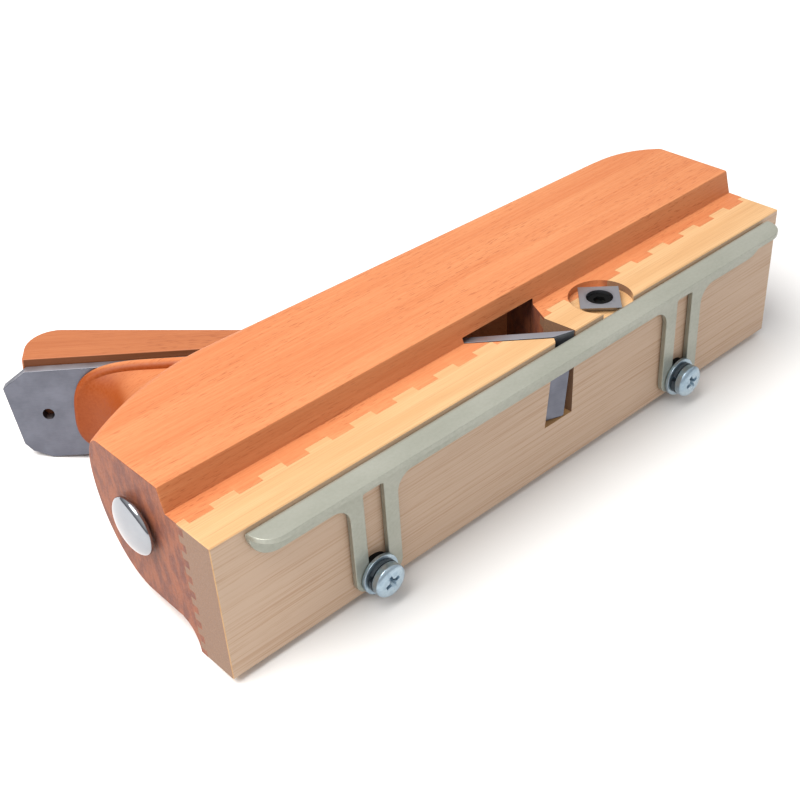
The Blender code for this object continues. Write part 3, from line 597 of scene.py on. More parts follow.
def beech_group():
    """Flat-sawn beech: soft growth bands, fine pores and the short dark flecks of its rays, with a painted
    shade tint blended in where a shade mask is given.
    """
    inputs = [("Vector", "Vector", None), ("End", "Float", 0.0),
              ("Scoop", "Float", 0.0), ("Light", "Color", None),
              ("Deep", "Color", None), ("Fleck", "Color", None),
              ("End Grain", "Color", None), ("Shade Tint", "Color", None)]
    group, given, out = start_group("beech_grain", inputs)
    vector = given.outputs["Vector"]
    bands = stretched_noise(group, vector, (0.006, 0.075, 0.11), 3.0, 0.55)
    streaks = stretched_noise(group, vector, (0.03, 1.1, 1.3), 2.0, 0.6)
    pores = stretched_noise(group, vector, (0.35, 5.0, 5.0), 2.0, 0.6)
    flecks = between(group, stretched_noise(group, vector, (0.26, 2.2, 2.6), 1.0, 0.4), 0.58, 0.72)
    patches = between(group, stretched_noise(group, vector, (0.02, 0.06, 0.06), 1.0), 0.38, 0.62)
    wide = between(group, bands, 0.32, 0.68, 0.0, 0.62)
    tone = reckon(group, "ADD", wide, between(group, streaks, 0.3, 0.7, 0.0, 0.38))
    colour = blend(group, tone, given.outputs["Light"], given.outputs["Deep"])
    gathered = reckon(group, "MULTIPLY", reckon(group, "ADD", patches, 0.4), 0.36)
    shown = reckon(group, "MULTIPLY", flecks, gathered)
    colour = blend(group, shown, colour, given.outputs["Fleck"])
    colour = blend(group, between(group, pores, 0.52, 0.75, 0.0, 0.2), colour, given.outputs["Fleck"])
    # Painted shade: the masked faces are blended towards the deep shade tint.
    shade_share = reckon(group, "MULTIPLY", given.outputs["Scoop"], between(group, streaks, 0.2, 0.8, 1.0, 0.86))
    colour = blend(group, shade_share, colour, given.outputs["Shade Tint"])
    rings = stretched_noise(group, vector, (0.02, 0.35, 0.12), 3.0, 0.6)
    specks = stretched_noise(group, vector, (0.5, 2.6, 2.6), 3.0, 0.7)
    ringed = between(group, rings, 0.35, 0.65, 0.0, 0.35)
    cut = blend(group, ringed, given.outputs["End Grain"], given.outputs["Deep"])
    cut = blend(group, between(group, specks, 0.5, 0.72, 0.0, 0.45), cut, given.outputs["Fleck"])
    roughness = between(group, streaks, 0.3, 0.7, 0.42, 0.56)
    height = reckon(group, "MULTIPLY", streaks, 0.35)
    height = reckon(group, "SUBTRACT", height, reckon(group, "MULTIPLY", pores, 0.5))
    height = reckon(group, "SUBTRACT", height, reckon(group, "MULTIPLY", flecks, 0.2))
    colour = blend(group, given.outputs["End"], colour, cut)
    put_out(group, out, Color=colour, Roughness=roughness, Height=height)
    return group


def add_group(tree, group, values):
    node = tree.nodes.new("ShaderNodeGroup")
    node.node_tree = group
    for name, value in values.items():
        if isinstance(value, bpy.types.NodeSocket):
            tree.links.new(value, node.inputs[name])
        else:
            node.inputs[name].default_value = value
    return node


def new_finish(name):
    finish = bpy.data.materials.new(name)
    finish.use_nodes = True
    return finish, finish.node_tree, finish.node_tree.nodes["Principled BSDF"]


def dress(tree, shader, grain, depth, strength, colour=None):
    """Puts a grain's colour, roughness and relief on a shader."""
    tree.links.new(colour or grain.outputs["Color"], shader.inputs["Base Color"])
    join(tree, grain, shader, ("Roughness", "Roughness"))
    bump = tree.nodes.new("ShaderNodeBump")
    bump.inputs["Strength"].default_value = strength
    bump.inputs["Distance"].default_value = depth * MM
    join(tree, grain, bump, ("Height", "Height"))
    join(tree, bump, shader, ("Normal", "Normal"))


tool_coordinates = tool_vector_group()
beech_grain = beech_group()


def beech_finish(name, light, deep, fleck, end_grain, shade_tint, slope=0.0):
    """Slope turns the grain about the tool's Z, for a piece that doesn't lie along the tool; such a piece
    gets the painted shade tint on its faces that look down, instead of in the horn's scoop.
    """
    finish, tree, shader = new_finish(name)
    where = add_group(tree, tool_coordinates, {})
    turned_grain = tree.nodes.new("ShaderNodeVectorRotate")
    turned_grain.rotation_type = "Z_AXIS"
    turned_grain.inputs["Angle"].default_value = slope
    tree.links.new(where.outputs["Vector"], turned_grain.inputs["Vector"])
    grain = add_group(tree, beech_grain, {
        "Vector": turned_grain.outputs["Vector"], "Light": light, "Deep": deep, "Fleck": fleck,
        "End Grain": end_grain, "Shade Tint": shade_tint})
    if slope == 0.0:
        tree.links.new(where.outputs["End"], grain.inputs["End"])
        # Painted shade in the horn's hollow scoop.
        tree.links.new(where.outputs["Scoop"], grain.inputs["Scoop"])
    else:
        # Painted shade on the faces that look down, between the wedge and the iron.
        tree.links.new(where.outputs["Under"], grain.inputs["Scoop"])
    shader.inputs["Specular IOR Level"].default_value = 0.22
    dress(tree, shader, grain, 0.12, 0.5)
    return finish


# The last colour is a painted shade tint for the horn's hollow scoop, deep and saturated as in its shade.
beech = beech_finish("steamed_beech", linear(199, 131, 87), linear(186, 111, 69), linear(146, 74, 42),
                     linear(110, 66, 55), linear(130, 54, 2))
# The throat and the mouth are lined with a dark red beech: painted shade for the deep shade inside them.
throat_shade_red = linear(126, 30, 16)
throat_shade = beech_finish("painted_throat_shade", linear(148, 40, 22), throat_shade_red, linear(90, 20, 11),
                            throat_shade_red, throat_shade_red)
THROAT_BOX = ((95.0, 0.6, 19.0), (159.0, 45.0, SOLE_WIDTH - 0.3))
lay_down(body, beech, 32.0, (*THROAT_BOX, throat_shade))
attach(body, "plane")
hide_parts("body")


# ---------------------------------------------------------------------------------------------
# Sole: a strip of hard white hornbeam, glued under the body with the other half of the comb
# joint and planed flush. The mouth, the nicker's recess and the screw seats are cut into it.

ARM_X = (59.3, 212.4)
SCREW_X = (58.5, 211.6)
SCREW_Z = 7.5
SEAT = (6.5, 1.4, 4.8, 12.8)       # flange seat radius and depth, bore radius and depth
NICKER_BUSH = (3.9, 12.0)          # radius and depth of the bore for the nicker's insert
SOLE_ARRIS = 0.35


def sole_ring(x, arris):
    a = SOLE_ARRIS
    low, high = arris, SOLE_WIDTH - arris
    points = [(low + a, low), (low, low + a), (low, high - a), (low + a, high)]
    points += [(COMB_HIGH - GLUE_LINE, high), (COMB_HIGH - GLUE_LINE, low)]
    return [Vector((x, y, z)) for y, z in points]


sole_stations = ((0.0, 0.25), (0.25, 0.0), (LENGTH - 0.25, 0.0), (LENGTH, 0.25))
sole = new_piece("hornbeam_sole", close_rings([sole_ring(x, arris) for x, arris in sole_stations]))
carve(sole, comb_tool(COMB_LOW - GLUE_LINE, 40.0, 0.5, finger + GLUE_LINE))
carve(sole, throat_tool())
carve(sole, recess_tool())
recess_floor = SOLE_WIDTH - NICKER_RECESS[3]
carve(sole, rod(NICKER_BUSH[0], recess_floor - NICKER_BUSH[1], recess_floor + 1.0, axis_z(*NICKER)))
for x in SCREW_X:
    profile = [(0, -1.0), (SEAT[0], -1.0), (SEAT[0], SEAT[1])]
    profile += [(SEAT[2], SEAT[1]), (SEAT[2], SEAT[3]), (0, SEAT[3])]
    carve(sole, turned("seat", profile, axis_y(x, SCREW_Z)))


def hornbeam_group():
    """Dense pale hornbeam: faint growth bands and very fine straight lines."""
    inputs = [("Vector", "Vector", None), ("End", "Float", 0.0),
              ("Sole", "Float", 0.0), ("Light", "Color", None),
              ("Deep", "Color", None), ("Line", "Color", None),
              ("End Grain", "Color", None), ("Sole Tone", "Color", None)]
    group, given, out = start_group("hornbeam_grain", inputs)
    vector = given.outputs["Vector"]
    bands = stretched_noise(group, vector, (0.008, 0.16, 0.10), 3.0, 0.5)
    lines = stretched_noise(group, vector, (0.012, 2.6, 1.6), 3.0, 0.65)
    dashes = stretched_noise(group, vector, (0.07, 3.4, 3.4), 1.0, 0.5)
    colour = blend(group, between(group, bands, 0.34, 0.66), given.outputs["Light"], given.outputs["Deep"])
    # The sole face is blended towards a greyer, cooler tone.
    sole_share = reckon(group, "MULTIPLY", given.outputs["Sole"], 0.86)
    colour = blend(group, sole_share, colour, given.outputs["Sole Tone"])
    colour = blend(group, between(group, lines, 0.48, 0.68, 0.0, 0.4), colour, given.outputs["Line"])
    colour = blend(group, between(group, dashes, 0.6, 0.72, 0.0, 0.3), colour, given.outputs["Line"])
    specks = stretched_noise(group, vector, (0.5, 3.0, 3.0), 3.0, 0.7)
    speckled = between(group, specks, 0.45, 0.7, 0.0, 0.5)
    cut = blend(group, speckled, given.outputs["End Grain"], given.outputs["Line"])
    colour = blend(group, given.outputs["End"], colour, cut)
    roughness = between(group, lines, 0.3, 0.7, 0.45, 0.58)
    height = reckon(group, "SUBTRACT", reckon(group, "MULTIPLY", bands, 0.1), lines)
    put_out(group, out, Color=colour, Roughness=roughness, Height=height)
    return group


hornbeam, tree, shader = new_finish("white_hornbeam")
where = add_group(tree, tool_coordinates, {})
grain = add_group(tree, hornbeam_group(), {
    "Vector": where.outputs["Vector"], "End": where.outputs["End"], "Sole": where.outputs["Sole"],
    "Light": linear(201, 161, 115), "Deep": linear(191, 148, 101), "Line": linear(162, 118, 78),
    "End Grain": linear(122, 92, 72), "Sole Tone": linear(196, 170, 148)})
dress(tree, shader, grain, 0.08, 0.5)
# The hornbeam round the mouth is lined with the same dark red painted shade as the throat.
MOUTH_BOX = ((130.0, 0.3, 19.0), (159.0, 17.0, 53.4))
lay_down(sole, hornbeam, 32.0, (*MOUTH_BOX, throat_shade))
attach(sole, "plane")
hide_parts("sole")


# ---------------------------------------------------------------------------------------------
# Iron: a bar of tool steel 3.5 mm thick, ground on both faces, with the tang's corners clipped
# and a small hole in it. The skewed edge has one bevel, ground on the side that lies on the bed.

TANG_S, IRON_END_S = 182.5, 198.0
IRON_HOLE = (182.7, 35.7, 2.15)
IRON_BEVEL = math.radians(24.0)


def iron_inner(s):
    return 20.7 - 0.0145 * s


def iron_outer(s):
    return 53.98 - 0.0065 * s


outline = [(0.0, iron_inner(0.0)), (TANG_S, iron_inner(TANG_S)), (TANG_S + 7.1, iron_inner(TANG_S) + 2.9)]
outline += [(TANG_S + 10.0, iron_inner(TANG_S) + 6.0), (IRON_END_S, iron_outer(TANG_S) - 6.1)]
outline += [(TANG_S + 7.3, iron_outer(TANG_S)), (0.0, iron_outer(0.0))]
faces = []
for t in (0.0, -IRON_THICKNESS):
    back = -t / math.tan(IRON_BEVEL)
    faces.append([bed(s + (back if s == 0.0 else 0.0), z, t) for s, z in outline])
iron = new_piece("skew_iron", close_rings(faces))
hole_at = bed(IRON_HOLE[0], IRON_HOLE[1], 0.0)


def through_iron(a, b, h):
    return hole_at + a * UP_BED + Vector((0, 0, b)) + h * OFF_BED


ease_edges(iron, 0.22, 2)
carve(iron, rod(IRON_HOLE[2], -8.0, 3.0, through_iron))


def worn_group():
    """Wear on exposed arrises, from how far the surface turns away from its neighbours."""
    inputs = [("Near", "Float", 0.45), ("Far", "Float", 0.56)]
    group, given, out = start_group("worn_edges", inputs, [("Edge", "Float")])
    geometry = group.nodes.new("ShaderNodeNewGeometry")
    node = group.nodes.new("ShaderNodeMapRange")
    group.links.new(geometry.outputs["Pointiness"], node.inputs["Value"])
    group.links.new(given.outputs["Near"], node.inputs["From Min"])
    group.links.new(given.outputs["Far"], node.inputs["From Max"])
    group.links.new(node.outputs["Result"], out.inputs["Edge"])
    return group


def steel_group():
    """Ground tool steel: cloudy tone with fine scratches along the bar."""
    inputs = [("Vector", "Vector", None), ("Light", "Color", None),
              ("Deep", "Color", None), ("Smooth", "Float", 0.3),
              ("Rough", "Float", 0.5)]
    group, given, out = start_group("ground_steel", inputs)
    vector = given.outputs["Vector"]
    clouds = stretched_noise(group, vector, (0.09, 0.09, 0.09), 4.0, 0.6)
    scratches = stretched_noise(group, vector, (0.25, 0.4, 6.0), 3.0, 0.7)
    cloudy = between(group, clouds, 0.3, 0.7, 0.0, 0.7)
    tone = reckon(group, "ADD", cloudy, between(group, scratches, 0.35, 0.65, 0.0, 0.3))
    colour = blend(group, tone, given.outputs["Light"], given.outputs["Deep"])
    node = group.nodes.new("ShaderNodeMapRange")
    group.links.new(clouds, node.inputs["Value"])
    node.inputs["From Min"].default_value = 0.3
    node.inputs["From Max"].default_value = 0.7
    group.links.new(given.outputs["Smooth"], node.inputs["To Min"])
    group.links.new(given.outputs["Rough"], node.inputs["To Max"])
    put_out(group, out, Color=colour, Roughness=node.outputs["Result"], Height=scratches)
    return group


worn_edges = worn_group()
ground_steel = steel_group()


def steel_finish(name, light, deep, edge, smooth, rough, depth, top_highlight=0.0):
    """With a share above 0 in its last argument, the faces that lie upwards get a painted highlight in the
    edge colour, instead of the worn arrises.
    """
    finish, tree, shader = new_finish(name)
    where = add_group(tree, tool_coordinates, {})
    steel = add_group(tree, ground_steel, {
        "Vector": where.outputs["Vector"], "Light": light, "Deep": deep, "Smooth": smooth, "Rough": rough})
    if top_highlight:
        bright = reckon(tree, "MULTIPLY", where.outputs["Up"], top_highlight)
    else:
        bright = add_group(tree, worn_edges, {"Near": 0.52, "Far": 0.6}).outputs["Edge"]
    shader.inputs["Metallic"].default_value = 1.0
    dress(tree, shader, steel, depth, 0.4, blend(tree, bright, steel.outputs["Color"], edge))
    return finish


# The iron's upward side faces carry a painted highlight in the pale edge colour.
iron_steel = steel_finish("ground_iron", linear(121, 123, 134), linear(106, 108, 118),
                          linear(188, 188, 196), 0.34, 0.48, 0.02, 0.9)
lay_down(iron, iron_steel)
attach(iron, "iron")
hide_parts("iron")


# ---------------------------------------------------------------------------------------------
# Wedge: beech like the body, sawn to a long taper so that it jams between the iron and the
# mortise. Its outer end is rounded over on the front, where it is tapped to free it.

WEDGE_Z = (21.4, 55.5)
WEDGE_END_RADIUS = 10.5


def rounded(points, steps=10):
    """Rounds a polygon's corners, each given as (u, v, radius)."""
    outline = []
    for i, (u, v, radius) in enumerate(points):
        here = Vector((u, v))
        if radius == 0:
            outline.append((u, v))
            continue
        back = (Vector(points[i - 1][:2]) - here).normalized()
        ahead = (Vector(points[(i + 1) % len(points)][:2]) - here).normalized()
        half = math.acos(max(-1.0, min(1.0, back.dot(ahead)))) / 2
        centre = here + (back + ahead).normalized() * radius / math.sin(half)
        start = here + back * radius / math.tan(half) - centre
        sign = 1.0 if back.x * ahead.y - back.y * ahead.x < 0 else -1.0
        for k in range(steps + 1):
            point = centre + Matrix.Rotation(sign * (math.pi - 2 * half) * k / steps, 2) @ start
            outline.append((point.x, point.y))
    return outline


corners = [(WEDGE_TIP_S, 0.2, 0), (WEDGE_END_S - 1.0, 0.2, 1.0)]
corners.append((WEDGE_END_S + 0.8, wedge_front(WEDGE_END_S), WEDGE_END_RADIUS))
corners.append((WEDGE_TIP_S, wedge_front(WEDGE_TIP_S), 0))
wedge = prism("beech_wedge", rounded(corners), lambda s, t, z: bed(s, z, t), *WEDGE_Z)
ease_edges(wedge, 0.45, 3)
# Its last colour is painted shade for the faces that look down towards the iron.
wedge_beech = beech_finish("wedge_beech", linear(168, 103, 65), linear(154, 88, 53), linear(120, 58, 34),
                           linear(150, 92, 64), linear(96, 54, 28), BED_ANGLE)
lay_down(wedge, wedge_beech)
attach(wedge, "wedge")
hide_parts("wedge")


# ---------------------------------------------------------------------------------------------
# Strike button: a chrome-plated steel dome pressed into the heel on its shank, standing a little
# off the wood. Hammer taps on it back the iron off.

BUTTON_RADIUS, BUTTON_STAND, BUTTON_RIM, BUTTON_DOME = 10.25, 1.6, 0.9, 3.0
SHANK_RADIUS, SHANK_LENGTH = 4.0, 22.0
dome_start = -BUTTON_STAND - BUTTON_RIM
profile = [(0, SHANK_LENGTH), (3.2, SHANK_LENGTH), (SHANK_RADIUS, 20.8), (SHANK_RADIUS, -BUTTON_STAND)]
profile += [(BUTTON_RADIUS - 0.5, -BUTTON_STAND), (BUTTON_RADIUS - 0.15, -BUTTON_STAND - 0.12)]
profile.append((BUTTON_RADIUS, -BUTTON_STAND - 0.45))
for k in range(0, 24):
    angle = math.pi / 2 * k / 24
    profile.append((BUTTON_RADIUS * math.cos(angle), dome_start - BUTTON_DOME * math.sin(angle)))
profile.append((0, dome_start - BUTTON_DOME))
button = turned("strike_dome", profile, axis_x(*BUTTON), 96)
button_chrome = steel_finish("button_chrome", linear(168, 171, 176), linear(158, 161, 167),
                             linear(190, 192, 194), 0.05, 0.1, 0.003)
lay_down(button, button_chrome, 40.0)
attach(button, "plane")
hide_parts("strike_button")


# ---------------------------------------------------------------------------------------------
# Nicker: a small square of hardened steel with all four corners sharpened, so it can be turned
# four ways. A black screw holds it on its corner in the round recess, level with the rebate face.

NICKER_SIDE, NICKER_TOP, NICKER_THICKNESS = 14.4, 53.55, 2.2
NICKER_HOLE = 4.75
NICKER_HEAD, NICKER_SHANK, NICKER_SOCKET = 4.5, 2.0, 2.3      # radii of its screw


def square_ring(side, z):
    half = side / math.sqrt(2)
    spots = ((1, 0), (0, 1), (-1, 0), (0, -1))
    return [Vector((NICKER[0] + half * a, NICKER[1] + half * b, z)) for a, b in spots]


low = NICKER_TOP - NICKER_THICKNESS
nicker = new_piece("nicker_blade", close_rings([
    square_ring(NICKER_SIDE - 3.2, low), square_ring(NICKER_SIDE - 2.6, low + 0.5),
    square_ring(NICKER_SIDE, NICKER_TOP - 0.15), square_ring(NICKER_SIDE - 0.15, NICKER_TOP)]))
carve(nicker, rod(NICKER_HOLE, low - 2.0, NICKER_TOP + 2.0, axis_z(*NICKER), 64))
nicker_steel = steel_finish("nicker_steel", linear(128, 129, 139), linear(104, 106, 115),
                            linear(176, 178, 184), 0.3, 0.42, 0.015)
lay_down(nicker, nicker_steel, 20.0)
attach(nicker, "nicker")
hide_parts("nicker_plate")

screw_top = NICKER_TOP - 1.1
seat, tip = recess_floor + 0.3, recess_floor - 9.5
profile = [(0, tip), (1.5, tip), (NICKER_SHANK, tip + 0.7), (NICKER_SHANK, seat), (NICKER_HEAD, seat)]
profile += [(NICKER_HEAD, screw_top - 0.3), (4.2, screw_top), (0, screw_top)]
nicker_screw = turned("nicker_socket_screw", profile, axis_z(*NICKER))
carve(nicker_screw, rod(NICKER_SOCKET, screw_top - 1.5, screw_top + 1.0, axis_z(*NICKER), 6))


def dark_steel_finish(name, light, deep, roughness):
    """Blackened steel with a faint oily mottle."""
    finish, tree, shader = new_finish(name)
    where = add_group(tree, tool_coordinates, {})
    steel = add_group(tree, ground_steel, {
        "Vector": where.outputs["Vector"], "Light": light, "Deep": deep,
        "Smooth": roughness, "Rough": roughness + 0.15})
    shader.inputs["Specular IOR Level"].default_value = 0.15
    dress(tree, shader, steel, 0.02, 0.3)
    return finish


# Nearly pure black, darker than black oxide is: the screw's own black plus painted shade inside the
# nicker's hole.
near_black_with_hole_shade = dark_steel_finish("black_oxide_hole_shade", linear(5, 5, 6), linear(2, 2, 3), 0.8)
lay_down(nicker_screw, near_black_with_hole_shade)
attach(nicker_screw, "nicker_fixing")
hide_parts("nicker_screw")


# ---------------------------------------------------------------------------------------------
# Fence: one piece of 2 mm steel sheet, cut with two slotted arms, folded to an L along its top
# and plated with zinc. It hangs on the sole and sets the width of the rebate.

FENCE_GAP = 0.3
FENCE_X = (12.0, 261.0)
SHEET = 2.0
FENCE_TOP, FENCE_EDGE_Y, BEND_RADIUS = 53.2, -10.2, 2.4
PLATE_Z, FLANGE_CORNER, PLATE_CORNER = 41.0, 8.0, 11.0
ARM_WIDTH, ARM_END_Z, ARM_FILLET, ARM_CORNER = 20.0, 2.7, 6.5, 5.0
SLOT_WIDTH, SLOT_TOP, SLOT_END = 8.5, 42.0, 4.2
bend_start = FENCE_TOP - BEND_RADIUS
bend_length = BEND_RADIUS * math.pi / 2


def fold(x, w, n):
    """Folds the flat sheet: w runs up the plate and out along the flange, n is the depth."""
    if w <= bend_start:
        return Vector((x, -FENCE_GAP - n, w))
    if w >= bend_start + bend_length:
        return Vector((x, -FENCE_GAP - BEND_RADIUS - (w - bend_start - bend_length), FENCE_TOP - n))
    angle = (w - bend_start) / BEND_RADIUS
    reach = BEND_RADIUS - n
    out = -FENCE_GAP - BEND_RADIUS + reach * math.cos(angle)
    return Vector((x, out, bend_start + reach * math.sin(angle)))


edge = bend_start + bend_length + (-FENCE_EDGE_Y - FENCE_GAP - BEND_RADIUS)
corners = [(FENCE_X[1], PLATE_Z, PLATE_CORNER), (FENCE_X[1], edge, FLANGE_CORNER)]
corners += [(FENCE_X[0], edge, FLANGE_CORNER), (FENCE_X[0], PLATE_Z, PLATE_CORNER)]
for x in ARM_X:
    left, right = x - ARM_WIDTH / 2, x + ARM_WIDTH / 2
    corners += [(left, PLATE_Z, ARM_FILLET), (left, ARM_END_Z, ARM_CORNER)]
    corners += [(right, ARM_END_Z, ARM_CORNER), (right, PLATE_Z, ARM_FILLET)]
fence = prism("zinc_fence", rounded(corners, 14), lambda u, v, w: Vector((u, v, w)), 0.0, SHEET)
for x in ARM_X:
    half = SLOT_WIDTH / 2
    slot = [(x - half, SLOT_END, 2.0), (x + half, SLOT_END, 2.0)]
    slot += [(x + half, SLOT_TOP, 0.8), (x - half, SLOT_TOP, 0.8)]
    carve(fence, prism("slot", rounded(slot, 6), lambda u, v, w: Vector((u, v, w)), -3.0, 5.0))
ease_edges(fence, 0.3, 3)
bm = bmesh.new()
bm.from_mesh(fence.data)
for k in range(13):
    row = bend_start + bend_length * k / 12
    bmesh.ops.bisect_plane(bm, geom=bm.verts[:] + bm.edges[:] + bm.faces[:],
                           plane_co=(0, row, 0), plane_no=(0, 1, 0), dist=1e-5)
for vert in bm.verts:
    vert.co = fold(*vert.co)
bm.to_mesh(fence.data)
bm.free()


def zinc_group():
    """Bright zinc plating: soft clouds of tone, a faint spangle and rolled-sheet lines under it."""
    inputs = [("Vector", "Vector", None), ("Light", "Color", None),
              ("Deep", "Color", None)]
    group, given, out = start_group("zinc_plating", inputs)
    vector = given.outputs["Vector"]
    clouds = stretched_noise(group, vector, (0.03, 0.07, 0.07), 3.0, 0.55)
    mottle = stretched_noise(group, vector, (0.7, 0.9, 0.9), 3.0, 0.6)
    rolled = stretched_noise(group, vector, (0.05, 3.0, 3.0), 2.0, 0.6)
    cloudy = between(group, clouds, 0.3, 0.7, 0.0, 0.7)
    tone = reckon(group, "ADD", cloudy, between(group, mottle, 0.35, 0.65, 0.0, 0.3))
    colour = blend(group, tone, given.outputs["Light"], given.outputs["Deep"])
    roughness = between(group, mottle, 0.3, 0.7, 0.28, 0.42)
    height = reckon(group, "MULTIPLY", mottle, 0.7)
    height = reckon(group, "ADD", height, reckon(group, "MULTIPLY", rolled, 0.5))
    put_out(group, out, Color=colour, Roughness=roughness, Height=height)
    return group


zinc_plating = zinc_group()


def zinc_finish(name, light, deep, depth, metallic=0.9):
    finish, tree, shader = new_finish(name)
    where = add_group(tree, tool_coordinates, {})
    zinc = add_group(tree, zinc_plating, {"Vector": where.outputs["Vector"], "Light": light, "Deep": deep})
    shader.inputs["Metallic"].default_value = metallic
    dress(tree, shader, zinc, depth, 0.4)
    return finish


fence_zinc = zinc_finish("fence_zinc", linear(168, 169, 158), linear(154, 156, 144), 0.03, 0.5)
lay_down(fence, fence_zinc, 25.0)
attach(fence, "fence")
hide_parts("fence")


# ---------------------------------------------------------------------------------------------
# Fence screws: two M6 pan-head machine screws with a cross recess, each on a split spring washer
# and a wide flat washer, all plated with blue-bright zinc. They clamp the fence's arms.

STACK_GAP = 0.15
flat_face = -FENCE_GAP - SHEET - STACK_GAP
FLAT_WASHER = (7.4, 1.4)
SPRING_WASHER = (6.1, 1.6)
HOLE_RADIUS = 3.3
HEAD = (6.1, 3.5)
spring_face = flat_face - FLAT_WASHER[1] - STACK_GAP
head_face = spring_face - SPRING_WASHER[1] - STACK_GAP
RECESS_TURN = math.radians(20.0)
screw_zinc = zinc_finish("screw_zinc", linear(190, 206, 216), linear(150, 172, 188), 0.01)
spring_steel = dark_steel_finish("spring_steel", linear(84, 94, 102), linear(48, 56, 62), 0.3)


def washer_tree():
    """A split spring washer: a square wire along one turn of a helix, with its ends apart."""
    tree, given = start_shape_tree("split_washer", {
        "Radius": "Float", "Turns": "Float", "Rise": "Float", "Wire Width": "Float", "Wire Height": "Float",
        "Material": "Material"})
    helix = tree.nodes.new("GeometryNodeCurveSpiral")
    helix.inputs["Resolution"].default_value = 72
    wire = tree.nodes.new("GeometryNodeCurvePrimitiveQuadrilateral")
    swept = tree.nodes.new("GeometryNodeCurveToMesh")
    swept.inputs["Fill Caps"].default_value = True
    upright = tree.nodes.new("GeometryNodeSetCurveNormal")
    upright.mode = "Z_UP"
    join(tree, given, helix, ("Turns", "Rotations"), ("Radius", "Start Radius"), ("Radius", "End Radius"),
         ("Rise", "Height"))
    join(tree, given, wire, ("Wire Width", "Width"), ("Wire Height", "Height"))
    join(tree, helix, upright, ("Curve", "Curve"))
    join(tree, upright, swept, ("Curve", "Curve"))
    join(tree, wire, swept, ("Curve", "Profile Curve"))
    end_shape_tree(tree, given, swept.outputs["Mesh"])
    return tree


split_washer = washer_tree()


def make_spring_washer(name, x):
    """The helix rises along its own Z, which is turned to point out of the sole."""
    washer = new_piece(name, bmesh.new())
    modifier = washer.modifiers.new("wire", "NODES")
    modifier.node_group = split_washer
    middle = (SPRING_WASHER[0] + HOLE_RADIUS) / 2
    rise = 0.25
    set_input(modifier, "Radius", middle)
    set_input(modifier, "Turns", 0.95)
    set_input(modifier, "Rise", rise)
    set_input(modifier, "Wire Width", SPRING_WASHER[0] - HOLE_RADIUS)
    set_input(modifier, "Wire Height", SPRING_WASHER[1] - rise)
    set_input(modifier, "Material", screw_zinc)
    settle(washer)
    out = Matrix.Translation((x, spring_face - (SPRING_WASHER[1] - rise) / 2, SCREW_Z))
    washer.data.transform(out @ Matrix.Rotation(math.pi / 2, 4, "X") @ Matrix.Rotation(2.6, 4, "Z"))
    ease_edges(washer, 0.12, 2)
    return washer


def make_flat_washer(name, x):
    radius, thickness = FLAT_WASHER
    far = flat_face - thickness
    profile = [(HOLE_RADIUS, flat_face), (radius - 0.2, flat_face), (radius, flat_face - 0.2)]
    profile += [(radius, far + 0.3), (radius - 0.1, far + 0.1), (radius - 0.3, far)]
    profile += [(HOLE_RADIUS + 0.2, far), (HOLE_RADIUS, far + 0.2)]
    return turned(name, profile, axis_y(x, SCREW_Z), 80)


def make_pan_screw(name, x):
    radius, height = HEAD
    top = head_face - height
    profile = [(0, 11.0), (2.2, 11.0), (3.0, 10.0), (3.0, head_face), (radius - 0.35, head_face)]
    profile += [(radius - 0.08, head_face - 0.1), (radius, head_face - 0.4)]
    for k in range(0, 16):
        angle = math.pi / 2 * k / 16
        share = 0.58 + 0.42 * math.sin(angle)
        profile.append((radius * math.cos(angle) ** 0.5, head_face + share * (top - head_face)))
    profile.append((0, top))
    screw = turned(name, profile, axis_y(x, SCREW_Z), 80)
    for quarter in (0, 1):
        angle = RECESS_TURN + quarter * math.pi / 2
        along = Vector((math.cos(angle), 0, math.sin(angle)))
        wide = Vector((-math.sin(angle), 0, math.cos(angle)))
        rings = []
        for y, reach, half in ((top - 1.0, 3.7, 0.9), (top + 2.2, 1.5, 0.5)):
            centre = Vector((x, y, SCREW_Z))
            rings.append([centre + along * a * reach + wide * b * half
                          for a, b in ((-1, -1), (1, -1), (1, 1), (-1, 1))])
        carve(screw, new_piece("recess", close_rings(rings)))
    centre_cone = [(0, top - 1.0), (1.9, top - 1.0), (0.8, top + 2.0), (0, top + 2.4)]
    carve(screw, turned("centre", centre_cone, axis_y(x, SCREW_Z), 32))
    return screw


for side, x in zip(("heel", "toe"), SCREW_X):
    for piece, node, finish in (
            (make_pan_screw(f"pan_screw_{side}", x), f"fence_screw_{side}", screw_zinc),
            (make_flat_washer(f"flat_washer_disc_{side}", x), f"flat_washer_{side}", screw_zinc),
            (make_spring_washer(f"split_washer_{side}", x), f"spring_washer_{side}", spring_steel)):
        lay_down(piece, finish, 30.0)
        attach(piece, f"screw_set_{side}")
        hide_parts(node)


# ---------------------------------------------------------------------------------------------
# Threaded inserts: dark steel bushes pressed into the wood. Only their flanges show, through the
# slots of the fence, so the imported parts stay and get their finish.

insert_steel = dark_steel_finish("dark_insert", linear(52, 50, 46), linear(30, 29, 27), 0.5)
for node in ("nicker_insert", "screw_insert_heel", "screw_insert_toe"):
    bush = frame["nodes"][node]
    bush.data.materials.clear()
    bush.data.materials.append(insert_steel)


# ---------------------------------------------------------------------------------------------
# Table, light and camera: a pale table top under a large soft light from behind and above.

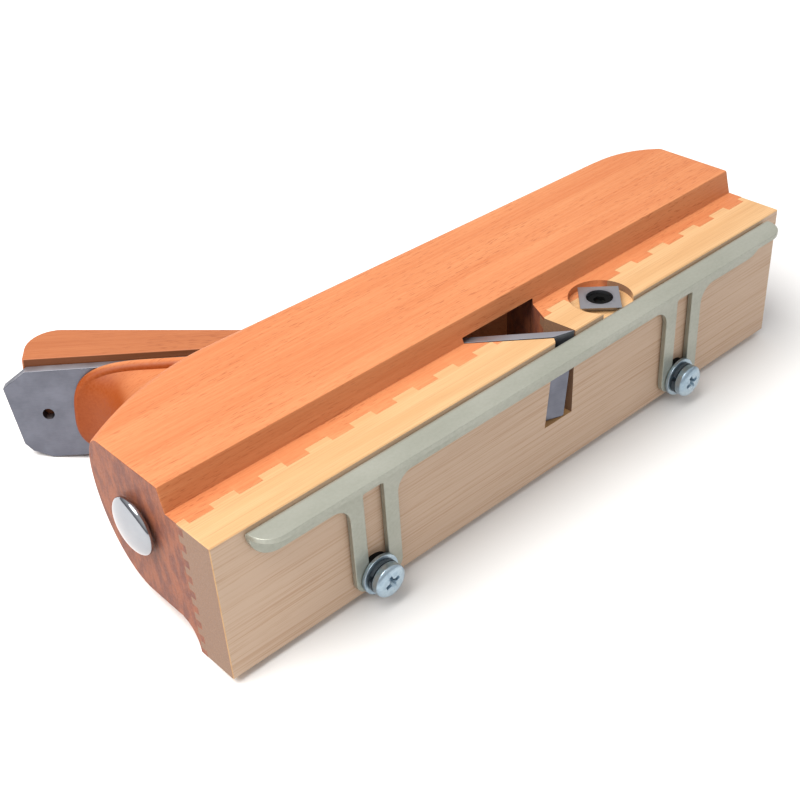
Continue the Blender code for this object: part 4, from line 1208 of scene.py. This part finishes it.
bm = bmesh.new()
bmesh.ops.create_grid(bm, x_segments=2, y_segments=2, size=3.0)
table_mesh = bpy.data.meshes.new("table")
bm.to_mesh(table_mesh)
bm.free()
table = bpy.data.objects.new("table", table_mesh)
bpy.context.scene.collection.objects.link(table)
table_white, tree, shader = new_finish("table_white")
where = add_group(tree, tool_coordinates, {})
faint = stretched_noise(tree, where.outputs["Vector"], (0.01, 0.01, 0.01), 2.0)
paint = blend(tree, faint, (0.79, 0.785, 0.78, 1.0), (0.81, 0.805, 0.80, 1.0))
tree.links.new(paint, shader.inputs["Base Color"])
shader.inputs["Roughness"].default_value = 0.7
table_mesh.materials.append(table_white)

world = bpy.data.worlds.new("studio")
bpy.context.scene.world = world
world.use_nodes = True
sky = world.node_tree
looking = sky.nodes.new("ShaderNodeTexCoord")
rise = sky.nodes.new("ShaderNodeSeparateXYZ")
sky.links.new(looking.outputs["Generated"], rise.inputs[0])
LOW_GREY, HIGH_WHITE = (0.36, 0.36, 0.38, 1.0), (1.0, 0.99, 0.98, 1.0)
backdrop = blend(sky, between(sky, rise.outputs["Z"], 0.0, 0.65), LOW_GREY, HIGH_WHITE)
sky.links.new(backdrop, sky.nodes["Background"].inputs["Color"])
sky.nodes["Background"].inputs["Strength"].default_value = 0.8


def soft_light(name, spot, size, power, colour):
    light = bpy.data.lights.new(name, "AREA")
    light.shape = "DISK"
    light.size = size
    light.energy = power
    light.color = colour
    lamp = bpy.data.objects.new(name, light)
    lamp.location = spot
    lamp.rotation_euler = (Vector((0.0, 0.0, 0.02)) - Vector(spot)).to_track_quat("-Z", "Y").to_euler()
    bpy.context.scene.collection.objects.link(lamp)


soft_light("overhead", (-0.62, 0.23, 1.08), 1.0, 24.5, (1.0, 0.99, 0.97))

CAMERA_SPOT = (-0.26709, -0.25878, 0.33427)
CAMERA_TURN = (0.788763, -0.0301, -0.712253)
CAMERA_LENS, CAMERA_SENSOR = 58.304, 36.0
CAMERA_SHIFT = (0.075, 0.0625)
camera_data = bpy.data.cameras.new("camera")
camera_data.sensor_width = CAMERA_SENSOR
camera_data.lens = CAMERA_LENS
camera_data.shift_x, camera_data.shift_y = CAMERA_SHIFT
camera_data.clip_start = 0.01
camera = bpy.data.objects.new("camera", camera_data)
camera.location = CAMERA_SPOT
camera.rotation_euler = CAMERA_TURN
bpy.context.scene.collection.objects.link(camera)
bpy.context.scene.camera = camera
bpy.context.scene.view_settings.view_transform = "Standard"
